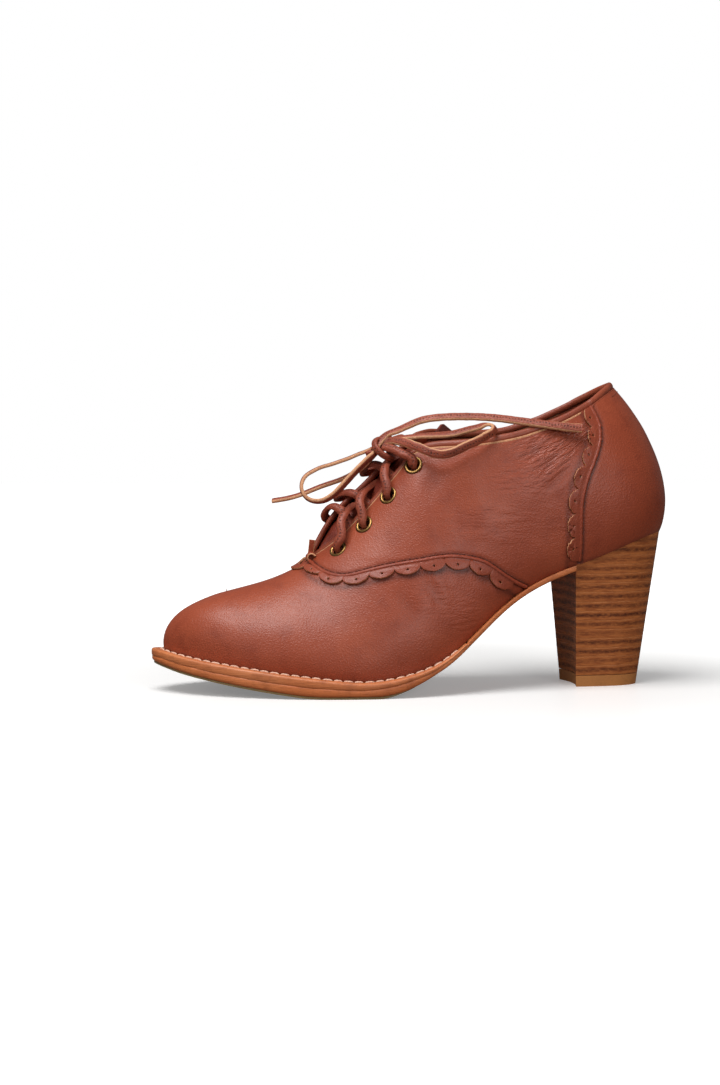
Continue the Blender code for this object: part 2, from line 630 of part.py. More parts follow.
def scallop_reach(scallops):
    """Shares along the seam, and the trim's reach there, in a row of round scallops."""
    share = np.linspace(0, 1, scallops["count"] * SCALLOP_STEPS + 1)
    swing = np.abs(np.sin(np.pi * share * scallops["count"]))**SCALLOP_ROUNDNESS
    blend = 1 - np.abs(2 * share - 1) if scallops["mirrored"] else 1 - share
    low = scallops["foot"][0] * blend + scallops["foot"][1] * (1 - blend)
    high = scallops["tip"][0] * blend + scallops["tip"][1] * (1 - blend)
    return share, low + (high - low) * swing


def trim_strip(name, route, scallops, reversed_side):
    """A scalloped strip that lies on the upper beside a seam."""
    share, reach = scallop_reach(scallops)
    line = smooth_route(route, len(share))
    seats, ways = on_surface(line)
    ways = blurred(blurred(ways))
    along = np.gradient(seats, axis=0)
    beside = np.cross(ways, along)
    beside /= np.linalg.norm(beside, axis=1)[:, None]
    if reversed_side:
        beside = -beside
    lower, upper = [], []
    for part in (0.0, 1.0):
        step = TRIM_START + (reach - TRIM_START) * part
        seats_here, ways_here = on_surface(seats + beside * step[:, None])
        ways_here = blurred(ways_here)
        lower.append(seats_here + ways_here * TRIM_LIFT)
        upper.append(seats_here + ways_here * (TRIM_LIFT + TRIM_THICK))
    mesh = slab(name, np.stack(lower, axis=1), np.stack(upper, axis=1))
    finish(name, mesh, COLOURS["trim"], 0.5)


def build_trims():
    lateral = seam_route(-1, QUARTER_SEAM[1:-1])
    medial = seam_route(1, QUARTER_SEAM[1:-1])
    route = np.vstack([lateral[::-1], [THROAT_FRONT], medial])
    trim_strip("vamp_scallop_trim", route, VAMP_SCALLOPS, True)
    for side in (-1, 1):
        name = f"counter_scallop_trim_{side_name(side)}"
        trim_strip(name, seam_route(side, COUNTER_SEAM), COUNTER_SCALLOPS, side > 0)


def surface_frame(side, girth, share):
    seat, way = on_surface(np.array([last_point(side, girth, share)]))
    return seat[0], way[0]


def build_eyelets():
    profile = (
        (EYELET_RADIUS - 0.5, EYELET_HEIGHT), (EYELET_RADIUS, EYELET_HEIGHT * 0.4), (EYELET_RADIUS, 0.0),
        (EYELET_HOLE, 0.0), (EYELET_HOLE, EYELET_HEIGHT * 0.7), (EYELET_HOLE + 0.4, EYELET_HEIGHT),
    )
    bm = bmesh.new()
    verts = [bm.verts.new((radius * MM, 0.0, height * MM)) for radius, height in profile]
    for i, vert in enumerate(verts):
        bm.edges.new((vert, verts[(i + 1) % len(verts)]))
    ring = bpy.data.meshes.new("eyelet")
    bm.to_mesh(ring)
    bm.free()
    for side in (-1, 1):
        for number, (girth, share) in enumerate(EYELETS, 1):
            name = f"eyelet_{side_name(side)}_{number}"
            seat, way = surface_frame(side, girth, share)
            piece = finish(name, ring.copy(), COLOURS["brass"], 0.35, 1.0)
            piece.location = Vector(world(seat + way * EYELET_LIFT))
            piece.rotation_mode = "QUATERNION"
            piece.rotation_quaternion = Vector((-way[0], way[1], way[2])).to_track_quat("Z", "X")
            turned = piece.modifiers.new("turned", "SCREW")
            turned.steps = EYELET_SIDES
            turned.render_steps = EYELET_SIDES
            turned.use_merge_vertices = True
            turned.merge_threshold = 0.00001


def tongue_row(girth):
    """One section of the tongue, from the lateral inside face over the gap to the medial one."""
    sides = []
    depth = UPPER_WALL + TONGUE_GAP
    for side in (-1, 1):
        points = np.array([last_point(side, girth, share) for share in TONGUE_SHARES])
        near = last_points(side, [girth - 1, girth + 1], TONGUE_SHARES)
        along = near[1] - near[0]
        rise = np.gradient(last_points(side, [girth], TONGUE_SHARES)[0], axis=0)
        out = np.cross(along, rise)
        out /= np.linalg.norm(out, axis=1)[:, None]
        out *= np.sign(out[:, 1] * side)[:, None]
        sides.append(points - out * depth)
    lateral, medial = sides
    middle = (lateral[-1] + medial[-1]) / 2
    return np.vstack([lateral, middle + np.array(GAP_OUT), medial[::-1]])


def tongue_top_row(station, side, height, half, fall):
    across = np.linspace(-1, 1, 2 * len(TONGUE_SHARES) + 1)
    return np.column_stack([np.full(len(across), station), side + half * across, height - fall * across**2])


def build_tongue():
    rows = [tongue_row(girth) for girth in TONGUE_GIRTHS] + [tongue_top_row(*row) for row in TONGUE_TOP]
    bm = bmesh.new()
    sheet(bm, np.array(rows))
    bmesh.ops.recalc_face_normals(bm, faces=bm.faces[:])
    mesh = bpy.data.meshes.new("tongue")
    bm.to_mesh(mesh)
    bm.free()
    if sum(face.normal.z for face in mesh.polygons) < 0:
        mesh.flip_normals()
    mesh.shade_smooth()
    piece = finish("tongue", mesh, COLOURS["upper"], 0.6)
    wall = piece.modifiers.new("wall", "SOLIDIFY")
    wall.thickness = TONGUE_WALL * MM
    wall.offset = -1
    wall.use_even_offset = True


def solid_of(name, data):
    """A curve's tube as a closed mesh, its caps welded."""
    holder = bpy.data.objects.new(name, data)
    shoe.objects.link(holder)
    bpy.context.view_layer.update()
    evaluated = holder.evaluated_get(bpy.context.evaluated_depsgraph_get())
    mesh = bpy.data.meshes.new_from_object(evaluated)
    bpy.data.objects.remove(holder)
    bm = bmesh.new()
    bm.from_mesh(mesh)
    bmesh.ops.remove_doubles(bm, verts=bm.verts[:], dist=0.00001)
    bm.to_mesh(mesh)
    bm.free()
    return mesh


def joined(name, meshes, colour, roughness):
    """Several closed meshes fused into one piece."""
    piece = finish(name, meshes[0], colour, roughness)
    for i, mesh in enumerate(meshes[1:]):
        tool = bpy.data.objects.new(f"{name}_add_{i}", mesh)
        cutters.objects.link(tool)
        tool.hide_render = True
        tool.display_type = "WIRE"
        union = piece.modifiers.new(f"join_{i}", "BOOLEAN")
        union.operation = "UNION"
        union.object = tool
    return piece


def gap_point(girth, share_across, lift):
    """A point over the gap between the facings: share 0 at the lateral edge, 1 at the medial."""
    lateral = last_point(-1, girth, 1.0)
    medial = last_point(1, girth, 1.0)
    return lateral * (1 - share_across) + medial * share_across + np.array(GAP_OUT) * lift


def out_of_eyelet(side, number):
    """Start of a strand: up through the eyelet's hole, then over its rim to the facing's edge."""
    seat, way = surface_frame(side, *EYELETS[number])
    edge = last_point(side, EYELETS[number][0] - 3.0, 1.0) - seat
    towards = edge - way * edge.dot(way)
    towards /= np.linalg.norm(towards)
    return [seat + way * up + towards * along for along, up in LACE_RISE]


def crossing_strand(side, low, high, lift):
    """A strand from one eyelet, arching over the gap to beside the next eyelet's facing."""
    far = 1.0 if side < 0 else 0.0
    near = 1.0 - far
    girths_here = np.linspace(EYELETS[low][0], EYELETS[high][0], 6)
    over_edge, over_way = surface_frame(side, girths_here[1], 0.985)
    clear = EYELET_HEIGHT + EYELET_LIFT + GAP + LACE_WIDTH / 2
    return np.vstack([
        out_of_eyelet(side, low),
        over_edge + over_way * (clear + 1.0),
        gap_point(girths_here[2], near + 0.5 * (far - near), lift),
        gap_point(girths_here[4], near + CROSSING_END[0] * (far - near), CROSSING_END[1]),
    ])


def build_crossings():
    for low in range(len(EYELETS) - 1):
        name = f"lace_crossing_{low + 1}"
        meshes = []
        for side, lift in CROSSING_LIFT:
            route = smooth_route(crossing_strand(side, low, low + 1, lift), 17)
            meshes.append(solid_of(name, tube_data(name, route, LACE_WIDTH / 2, 1)))
        joined(name, meshes, COLOURS["lace"], 0.5)


def build_bow():
    bm = bmesh.new()
    bmesh.ops.create_uvsphere(bm, u_segments=12, v_segments=8, radius=MM)
    bmesh.ops.scale(bm, verts=bm.verts[:], vec=KNOT_HALF)
    bmesh.ops.translate(bm, verts=bm.verts[:], vec=Vector(world(KNOT)))
    knot = bpy.data.meshes.new("lace_knot")
    bm.to_mesh(knot)
    bm.free()
    strands = []
    for side, rest in KNOT_STRANDS:
        route = smooth_route(out_of_eyelet(side, len(EYELETS) - 1) + list(rest), 12)
        strands.append(solid_of("lace_knot", tube_data("lace_knot", route, LACE_WIDTH / 2, 1)))
    joined("lace_knot", [knot] + strands, COLOURS["lace"], 0.5)
    for name, route in BOW.items():
        count = max(12, round(len(route) * 1.15))
        curve = tube_data(name, smooth_route(route, count), LACE_WIDTH / 2)
        finish(name, curve, COLOURS["lace"], 0.5)


for old in list(bpy.data.objects):
    bpy.data.objects.remove(old)
shoe = bpy.data.collections.new("heeled_oxford_shoe")
bpy.context.scene.collection.children.link(shoe)
cutters = bpy.data.collections.new("cutters")
bpy.context.scene.collection.children.link(cutters)
SURFACE = surface_tree()
build_outsole()
build_forefoot_rubber()
build_welt()
build_insole()
build_heel()
build_upper()
build_tongue()
build_trims()
build_pipings()
build_eyelets()
build_crossings()
build_bow()
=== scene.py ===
# Heeled lace-up oxford, left foot: the finish of every surface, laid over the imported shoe.
# Lists are in shoe millimetres: station runs forward from the counter, side is lateral when
# negative, height is above the floor. place() turns them into the frame's metres, toe at -X.
import math
import bmesh
import bpy
import numpy as np
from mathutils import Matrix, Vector, noise
from mathutils.bvhtree import BVHTree


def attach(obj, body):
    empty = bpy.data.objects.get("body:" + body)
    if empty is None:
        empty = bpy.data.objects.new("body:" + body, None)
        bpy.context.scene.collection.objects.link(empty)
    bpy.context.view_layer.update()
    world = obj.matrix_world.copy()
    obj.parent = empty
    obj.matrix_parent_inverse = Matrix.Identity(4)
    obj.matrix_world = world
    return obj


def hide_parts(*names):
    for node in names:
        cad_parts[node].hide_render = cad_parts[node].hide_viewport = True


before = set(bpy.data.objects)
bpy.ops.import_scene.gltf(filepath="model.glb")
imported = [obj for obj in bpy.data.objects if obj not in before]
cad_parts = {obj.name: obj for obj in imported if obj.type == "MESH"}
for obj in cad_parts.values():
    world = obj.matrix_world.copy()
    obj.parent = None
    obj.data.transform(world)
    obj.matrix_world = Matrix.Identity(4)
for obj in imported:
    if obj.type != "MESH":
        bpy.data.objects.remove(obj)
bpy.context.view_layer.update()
scene = bpy.context.scene
mm = 0.001
origin = {"station": 127.78, "side": -0.73}

# The last, as the shoe's solids have it: each rib's place on the foot outline, the outline's turn
# there, the swell above the foot line and the swell below the top edge.
lastColumns = (
    "station", "lateral", "medial", "height", "turn", "footOut", "footUp",
    "topOutLateral", "topOutMedial", "topDownLateral", "topDownMedial",
)
lastRows = np.array((
    (2.5, 0.0, 0.0, 77.0, 0.0, 6.0, 15.0, 29.0, 29.0, 31.0, 31.0),
    (6.8, -14.2, 14.2, 77.0, 32.0, 6.2, 15.5, 24.0, 24.0, 30.0, 30.0),
    (19.0, -23.0, 23.0, 73.6, 66.0, 6.8, 17.0, 14.0, 14.0, 27.0, 27.0),
    (40.0, -25.5, 25.5, 65.2, 86.0, 7.0, 18.0, 8.0, 8.0, 22.0, 22.0),
    (62.0, -26.2, 24.6, 57.3, 90.0, 6.5, 18.0, 6.5, 6.5, 20.0, 20.0),
    (85.0, -28.6, 23.0, 44.6, 90.0, 6.0, 20.0, 8.0, 8.0, 20.0, 20.0),
    (103.0, -32.4, 24.4, 29.2, 90.0, 5.5, 22.0, 12.0, 12.0, 20.0, 20.0),
    (113.0, -34.8, 26.8, 21.0, 90.0, 5.0, 22.0, 15.0, 13.0, 16.0, 17.0),
    (122.0, -37.0, 29.6, 15.6, 90.0, 5.0, 22.0, 16.0, 14.0, 14.0, 13.0),
    (140.0, -39.8, 34.4, 9.8, 90.0, 4.5, 21.0, 17.0, 17.0, 13.0, 9.0),
    (157.0, -40.6, 37.8, 7.8, 90.0, 4.0, 19.0, 19.0, 19.0, 9.0, 6.0),
    (173.0, -39.0, 39.0, 8.8, 90.0, 4.0, 18.0, 20.0, 20.0, 3.0, 2.0),
    (190.0, -35.6, 37.8, 10.7, 92.0, 3.8, 17.0, 22.0, 22.0, 0.0, 0.0),
    (205.0, -30.8, 34.6, 12.7, 97.0, 3.4, 16.0, 21.0, 21.0, 0.0, 0.0),
    (219.0, -24.4, 30.0, 14.7, 108.0, 3.0, 15.5, 20.0, 20.0, 0.0, 0.0),
    (233.5, -15.6, 23.2, 16.9, 128.0, 2.6, 15.0, 20.0, 20.0, 0.0, 0.0),
    (244.7, -5.0, 14.4, 19.0, 153.0, 2.2, 14.5, 20.0, 20.0, 0.0, 0.0),
    (250.0, 5.0, 5.0, 20.2, 180.0, 2.0, 14.0, 20.0, 20.0, 0.0, 0.0),
))
topEdge = np.array((  # collar and facing, lateral then medial: station, side, height
    (27.0, 0.0, 149.5, 27.0, 0.0, 149.5),
    (33.0, -10.5, 146.0, 33.0, 10.5, 146.0),
    (45.0, -18.0, 138.0, 45.0, 18.0, 139.0),
    (62.0, -22.0, 129.4, 62.0, 22.0, 130.8),
    (82.0, -23.0, 122.8, 80.0, 23.0, 125.4),
    (104.0, -20.5, 119.4, 100.0, 21.0, 124.2),
    (120.0, -14.5, 118.4, 115.0, 15.5, 125.2),
    (128.5, -10.8, 115.4, 124.0, 10.5, 123.5),
    (137.0, -9.4, 105.2, 134.0, 8.0, 115.6),
    (151.0, -7.2, 88.6, 150.4, 8.2, 99.8),
    (167.0, -3.6, 72.2, 166.6, 8.0, 84.2),
    (180.5, 3.4, 62.2, 180.5, 3.4, 62.2),
))
ridge = np.array((
    (180.5, 3.4, 62.2), (191.0, 3.4, 56.6), (203.0, 3.8, 52.3), (213.0, 4.2, 49.6), (219.0, 4.4, 48.1),
))
ridgeEnds = (180.5, 194.0, 207.0, 217.0, 219.0, 219.0, 219.0)
throatRow = len(topEdge) - 1


# Shape of the last

def smoothCurve(knots, values, at):  # twice-smooth curve through a table
    x = np.asarray(knots, float)
    y = np.asarray(values, float)
    if y.ndim == 1:
        y = y[:, None]
    n = len(x)
    h = np.diff(x)
    matrix = np.zeros((n, n))
    right = np.zeros((n, y.shape[1]))
    matrix[0, 0] = matrix[-1, -1] = 1
    for i in range(1, n - 1):
        matrix[i, i - 1:i + 2] = h[i - 1], 2 * (h[i - 1] + h[i]), h[i]
        right[i] = 6 * ((y[i + 1] - y[i]) / h[i] - (y[i] - y[i - 1]) / h[i - 1])
    bend = np.linalg.solve(matrix, right)
    at = np.asarray(at, float)
    k = np.clip(np.searchsorted(x, at, side="right") - 1, 0, n - 2)
    a = (x[k + 1] - at)[:, None]
    b = (at - x[k])[:, None]
    w = h[k][:, None]
    cubic = (bend[k] * a**3 + bend[k + 1] * b**3) / (6 * w)
    return cubic + (y[k] / w - bend[k] * w / 6) * a + (y[k + 1] / w - bend[k + 1] * w / 6) * b


def steadyCurve(knots, values, at):  # smooth curve that never overshoots its table
    x = np.asarray(knots, float)
    y = np.asarray(values, float)
    if y.ndim == 1:
        y = y[:, None]
    h = np.diff(x)[:, None]
    slope = np.diff(y, axis=0) / h
    both = slope[:-1] * slope[1:]
    total = slope[:-1] + slope[1:]
    m = np.zeros_like(y)
    m[0] = slope[0]
    m[-1] = slope[-1]
    m[1:-1] = np.where(both > 0, 2 * both / np.where(total == 0, 1, total), 0)
    at = np.asarray(at, float)
    k = np.clip(np.searchsorted(x, at, side="right") - 1, 0, len(x) - 2)
    w = (x[k + 1] - x[k])[:, None]
    t = (at - x[k])[:, None] / w
    start = (2 * t**3 - 3 * t**2 + 1) * y[k] + (t**3 - 2 * t**2 + t) * w * m[k]
    return start + (3 * t**2 - 2 * t**3) * y[k + 1] + (t**3 - t**2) * w * m[k + 1]


def tableValue(table, at):  # held flat past the table's ends
    knots, values = zip(*table)
    return steadyCurve(knots, values, np.clip(np.atleast_1d(at), knots[0], knots[-1]))[:, 0]


def lastColumn(name):
    return lastRows[:, lastColumns.index(name)]


def ribGirths():
    along = np.diff(lastColumn("station"))
    lateral = np.hypot(along, np.diff(lastColumn("lateral")))
    medial = np.hypot(along, np.diff(lastColumn("medial")))
    return np.concatenate([[0], np.cumsum((lateral + medial) / 2)])


ribGirth = ribGirths()
toeGirth = ribGirth[-1]
throatGirth = ribGirth[throatRow]
roundRows = 3
ridgeSlope = (ridge[-1, 2] - ridge[-2, 2]) / (ridge[-1, 0] - ridge[-2, 0])


def sideTable(side):  # one side's rows, carried on round heel and toe by the other side's
    def rows(which):
        big = which.capitalize()
        names = ("station", which, "height", "turn", "footOut", "footUp", "topOut" + big, "topDown" + big)
        return np.column_stack([lastColumn(name) for name in names])

    own = rows("lateral" if side < 0 else "medial")
    other = rows("medial" if side < 0 else "lateral")
    behind = other[1:roundRows + 1][::-1].copy()
    behind[:, 3] *= -1
    ahead = other[-roundRows - 1:-1][::-1].copy()
    ahead[:, 3] = 360 - ahead[:, 3]
    girth = np.concatenate([
        -ribGirth[1:roundRows + 1][::-1], ribGirth, 2 * toeGirth - ribGirth[-roundRows - 1:-1][::-1],
    ])
    return girth, np.vstack([behind, own, ahead])


def topPoint(side, girth):
    own, other = (topEdge[:, :3], topEdge[:, 3:]) if side < 0 else (topEdge[:, 3:], topEdge[:, :3])
    knots = np.concatenate([-ribGirth[1:3][::-1], ribGirth[:throatRow + 1]])
    free = steadyCurve(knots, np.vstack([other[1:3][::-1], own]), np.minimum(girth, throatGirth))
    station = steadyCurve(ribGirth[throatRow:], ridgeEnds, np.maximum(girth, throatGirth))
    line = np.column_stack([station, smoothCurve(ridge[:, 0], ridge[:, 1:], station[:, 0])])
    return np.where((girth < throatGirth)[:, None], free, line)


def lastPoints(side, girth, share):  # outer face: girths by shares up the rib
    girth = np.asarray(girth, float)
    knots, table = sideTable(side)
    station, across, height, turn, footOut, footUp, topOut, topDown = smoothCurve(knots, table, girth).T
    angle = np.radians(turn)
    outward = np.column_stack([-np.cos(angle), side * np.sin(angle), np.zeros_like(angle)])
    up = np.array([0.0, 0.0, 1.0])
    foot = np.column_stack([station, across, height])
    top = topPoint(side, girth)
    fall = np.where((girth >= throatGirth) & (turn > 90), -np.cos(angle) * topOut * ridgeSlope, 0)
    low = foot + outward * footOut[:, None] + up * footUp[:, None]
    high = top + outward * topOut[:, None] + up * (fall - topDown)[:, None]
    v = np.asarray(share, float)
    v = (v[None, :] if v.ndim == 1 else v)[..., None]
    curve = (1 - v)**3 * foot[:, None] + 3 * v * (1 - v)**2 * low[:, None]
    return curve + 3 * v**2 * (1 - v) * high[:, None] + v**3 * top[:, None]


def lastPoint(side, girth, share):
    return lastPoints(side, [girth], [share])[0, 0]


def place(points):  # shoe millimetres to the frame's metres
    p = np.asarray(points, float)
    return np.stack([origin["station"] - p[..., 0], p[..., 1] - origin["side"], p[..., 2]], axis=-1) * mm


def unplace(point):
    return np.array([origin["station"] - point[0] / mm, point[1] / mm + origin["side"], point[2] / mm])


def unit(vectors):
    v = np.asarray(vectors, float)
    return v / np.maximum(np.linalg.norm(v, axis=-1, keepdims=True), 1e-9)


def lengthAlong(route):
    return np.concatenate([[0], np.cumsum(np.linalg.norm(np.diff(route, axis=0), axis=1))])


def evenRoute(points, step):  # evenly spaced points on a smooth curve through a route
    route = np.asarray(points, float)
    length = lengthAlong(route)
    fine = smoothCurve(length, route, np.linspace(0, length[-1], 20 * len(route)))
    walked = lengthAlong(fine)
    even = np.linspace(0, walked[-1], max(3, round(walked[-1] / step) + 1))
    return np.column_stack([np.interp(even, walked, fine[:, i]) for i in range(3)])


def softStep(low, high, value):
    t = np.clip((np.asarray(value, float) - low) / (high - low), 0, 1)
    return t * t * (3 - 2 * t)


def speckle(points, size, seed=0.0):  # soft noise of about -1 to 1 over shoe millimetres
    shifted = np.asarray(points, float) / size + seed
    return np.array([noise.noise(Vector(p)) for p in shifted.reshape(-1, 3)]).reshape(shifted.shape[:-1])


# Making meshes

def gridFaces(rows, columns, closeRows=False, closeColumns=False):
    i = np.arange(rows if closeRows else rows - 1)[:, None]
    j = np.arange(columns if closeColumns else columns - 1)[None, :]
    a = i * columns + j
    b = ((i + 1) % rows) * columns + j
    c = ((i + 1) % rows) * columns + (j + 1) % columns
    d = i * columns + (j + 1) % columns
    return np.stack([a, b, c, d], axis=-1).reshape(-1, 4)


def meshPiece(name, points, faces, looks, slot, stands=(), faceLooks=None, weld=0.0, marks=None, closed=True):
    mesh = bpy.data.meshes.new(name)
    corners = place(np.asarray(points).reshape(-1, 3)).tolist()
    mesh.from_pydata(corners, [], [list(map(int, face)) for face in faces])
    for label, values in (marks or {}).items():
        mark = mesh.attributes.new(label, "FLOAT", "POINT")
        mark.data.foreach_set("value", np.asarray(values, np.float32).ravel())
    if faceLooks is not None:
        mesh.polygons.foreach_set("material_index", np.asarray(faceLooks, np.int32).ravel())
    bm = bmesh.new()
    bm.from_mesh(mesh)
    if weld:
        bmesh.ops.remove_doubles(bm, verts=bm.verts[:], dist=weld * mm)
        bmesh.ops.dissolve_degenerate(bm, edges=bm.edges[:], dist=0.3 * weld * mm)
    if closed:
        bmesh.ops.recalc_face_normals(bm, faces=bm.faces[:])
    bm.to_mesh(mesh)
    bm.free()
    mesh.shade_smooth()
    mesh.set_sharp_from_angle(angle=math.radians(48))
    for look in looks:
        mesh.materials.append(look)
    piece = bpy.data.objects.new(name, mesh)
    scene.collection.objects.link(piece)
    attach(piece, "root")
    if stands:
        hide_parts(*stands)
    return piece


def facingOut(piece):  # an open skin's lateral wall looks to -Y
    outermost = min(piece.data.polygons, key=lambda face: face.center.y)
    if outermost.normal.y > 0:
        piece.data.flip_normals()


def rings(loops):  # vertices and faces of a tube through a row of loops, with capped ends
    count, size = loops.shape[:2]
    faces = gridFaces(count, size, closeColumns=True).tolist()
    faces.append(list(range(size))[::-1])
    faces.append(list(range((count - 1) * size, count * size)))
    return loops.reshape(-1, 3), faces


def joinMeshes(parts):  # several sets of vertices and faces as one
    points, faces, shift = [], [], 0
    for somePoints, someFaces in parts:
        points.append(np.asarray(somePoints).reshape(-1, 3))
        faces += [[index + shift for index in face] for face in someFaces]
        shift += len(points[-1])
    return np.vstack(points), faces


# Camera, at the photograph's own distance and eye height

cameraSet = {
    "place": (-0.15791, -0.83208, 0.10985), "down": 2.592, "turn": -9.0, "lens": 56.80, "sensor": 36.0,
}


def makeCamera():
    eye = bpy.data.cameras.new("camera")
    eye.lens = cameraSet["lens"]
    eye.sensor_width = cameraSet["sensor"]
    holder = bpy.data.objects.new("camera", eye)
    holder.location = cameraSet["place"]
    holder.rotation_euler = (math.radians(90 - cameraSet["down"]), 0, math.radians(cameraSet["turn"]))
    scene.collection.objects.link(holder)
    scene.camera = holder
    print("camera set")


# Node groups that several finishes share

def feed(tree, made, inputs):  # links or plain values into a node's sockets
    for label, value in inputs.items():
        if isinstance(value, bpy.types.NodeSocket):
            tree.links.new(value, made.inputs[label])
        else:
            made.inputs[label].default_value = value


def newGroup(name, inputs, outputs):
    group = bpy.data.node_groups.new(name, "ShaderNodeTree")
    for label, value in inputs.items():
        kind = "NodeSocketColor" if isinstance(value, tuple) else "NodeSocketFloat"
        group.interface.new_socket(label, in_out="INPUT", socket_type=kind).default_value = value
    for label in outputs:
        kind = "NodeSocketColor" if label == "Color" else "NodeSocketFloat"
        group.interface.new_socket(label, in_out="OUTPUT", socket_type=kind)
    return group, group.nodes.new("NodeGroupInput").outputs, group.nodes.new("NodeGroupOutput")


def useGroup(tree, name, inputs):
    made = tree.nodes.new("ShaderNodeGroup")
    made.node_tree = bpy.data.node_groups[name]
    feed(tree, made, inputs)
    return made.outputs


def addNode(tree, kind, inputs=None, **options):
    made = tree.nodes.new("ShaderNode" + kind)
    for key, value in options.items():
        setattr(made, key, value)
    feed(tree, made, inputs or {})
    return made


def maths(tree, operation, *values):
    return addNode(tree, "Math", dict(enumerate(values)), operation=operation).outputs[0]


def times(tree, first, second):
    return maths(tree, "MULTIPLY", first, second)


def timesPlus(tree, first, second, third):
    return maths(tree, "MULTIPLY_ADD", first, second, third)


def mixColour(tree, factor, first, second):
    return addNode(tree, "Mix", {0: factor, 6: first, 7: second}, data_type="RGBA").outputs[2]


def remap(tree, value, low, high, toLow=0.0, toHigh=1.0):
    given = {0: value, 1: low, 2: high, 3: toLow, 4: toHigh}
    return addNode(tree, "MapRange", given, interpolation_type="SMOOTHSTEP").outputs[0]


def objectPlace(tree, stretch=None):
    spot = addNode(tree, "TexCoord").outputs["Object"]
    if stretch is None:
        return spot
    return addNode(tree, "Mapping", {"Vector": spot, "Scale": stretch}).outputs[0]


def noiseAt(tree, spot, scale, detail=2.0, rough=0.5, distort=0.0):
    given = {"Vector": spot, "Scale": scale, "Detail": detail, "Roughness": rough, "Distortion": distort}
    return addNode(tree, "TexNoise", given).outputs[0]


def markOn(tree, name):  # reads a mark left on the mesh
    return addNode(tree, "Attribute", attribute_name=name).outputs["Fac"]


def addBump(tree, shader, height, distance, strength=1.0):
    bump = addNode(tree, "Bump", {"Height": height, "Distance": distance, "Strength": strength})
    tree.links.new(bump.outputs[0], shader.inputs["Normal"])


def linear(red, green, blue):  # screen colour, 0 to 255, to the shader's own scale
    return tuple(((c / 255 + 0.055) / 1.055)**2.4 for c in (red, green, blue)) + (1.0,)


grainSet = {
    "bendScale": 260.0, "bendBy": 0.0012, "smooth": 0.55, "pebble": (0.15, 0.62), "pores": 2.3,
    "ripple": 0.22,
}


def makeLeatherGrain():  # pebbles, pores and soft unevenness of a smooth hide
    inputs = {"Cells per metre": 1100.0, "Pebble": 0.5, "Pores": 0.35, "Ripple": 0.3}
    group, given, result = newGroup("leatherGrain", inputs, ("Height", "Valley"))
    spot, scale = objectPlace(group), given["Cells per metre"]
    broad = {"Vector": spot, "Scale": grainSet["bendScale"], "Detail": 1.0}
    bend = addNode(group, "TexNoise", broad).outputs["Color"]
    warp = addNode(group, "VectorMath", {0: bend, "Scale": grainSet["bendBy"]}, operation="SCALE").outputs[0]
    moved = addNode(group, "VectorMath", {0: spot, 1: warp}, operation="ADD").outputs[0]
    cells = addNode(group, "TexVoronoi", {"Vector": moved, "Scale": scale}, feature="SMOOTH_F1")
    cells.inputs["Smoothness"].default_value = grainSet["smooth"]
    pebble = remap(group, cells.outputs["Distance"], *grainSet["pebble"], 1.0, 0.0)
    total = times(group, pebble, given["Pebble"])
    pores = noiseAt(group, spot, times(group, scale, grainSet["pores"]))
    total = timesPlus(group, pores, given["Pores"], total)
    ripple = noiseAt(group, spot, times(group, scale, grainSet["ripple"]))
    total = timesPlus(group, ripple, given["Ripple"], total)
    feed(group, result, {"Height": total, "Valley": maths(group, "SUBTRACT", 1.0, pebble)})


def makeHideTone():  # dye that lies unevenly: broad drift, cloudy patches and fine flecks
    black = (0.0, 0.0, 0.0, 1.0)
    inputs = {"Base": black, "Light": black, "Dark": black, "Cloud": 0.5, "Fleck": 0.2}
    group, given, result = newGroup("hideTone", inputs, ("Color", "Patch"))
    spot = objectPlace(group)
    broad = noiseAt(group, spot, 26.0)
    cloud = noiseAt(group, spot, 95.0, 4.0, 0.6)
    fleck = noiseAt(group, spot, 900.0, 3.0, 0.7)
    lighter = times(group, remap(group, broad, 0.42, 0.68), given["Cloud"])
    darker = times(group, remap(group, cloud, 0.45, 0.75), given["Cloud"])
    flecks = times(group, remap(group, fleck, 0.5, 0.72), given["Fleck"])
    tone = mixColour(group, lighter, given["Base"], given["Light"])
    tone = mixColour(group, darker, tone, given["Dark"])
    feed(group, result, {"Color": mixColour(group, flecks, tone, given["Dark"]), "Patch": cloud})


def makeCutFibre():  # the bare fibres of a cut edge or a flesh side
    black = (0.0, 0.0, 0.0, 1.0)
    inputs = {"Base": black, "Dark": black, "Fibres per metre": 900.0}
    group, given, result = newGroup("cutFibre", inputs, ("Color", "Height"))
    spot = objectPlace(group)
    fibre = noiseAt(group, spot, given["Fibres per metre"], 4.0, 0.7)
    patch = remap(group, noiseAt(group, spot, 160.0), 0.5, 0.8, 0.0, 0.4)
    mask = timesPlus(group, remap(group, fibre, 0.42, 0.7), 0.6, patch)
    feed(group, result, {"Color": mixColour(group, mask, given["Base"], given["Dark"]), "Height": fibre})


wrinkleMarks = {"Fan": "fan", "Across": "fanAcross", "Along": "fanAlong", "Flat": "flat"}
levelStretch = (120, 120, 560)


def makeFineWrinkles():  # spreading as a fan or lying level, where the mesh is marked
    group, given, result = newGroup("fineWrinkles", dict.fromkeys(wrinkleMarks, 0.0), ("Height",))
    spread = addNode(group, "CombineXYZ", {0: given["Across"], 1: given["Along"]}).outputs[0]
    rays = noiseAt(group, spread, 1.0, 2.0, 0.55, 0.35)
    lines = noiseAt(group, objectPlace(group, levelStretch), 1.0, 2.0, 0.5, 0.3)
    total = times(group, remap(group, rays, 0.3, 0.66), given["Fan"])
    feed(group, result, {"Height": timesPlus(group, remap(group, lines, 0.3, 0.7), given["Flat"], total)})


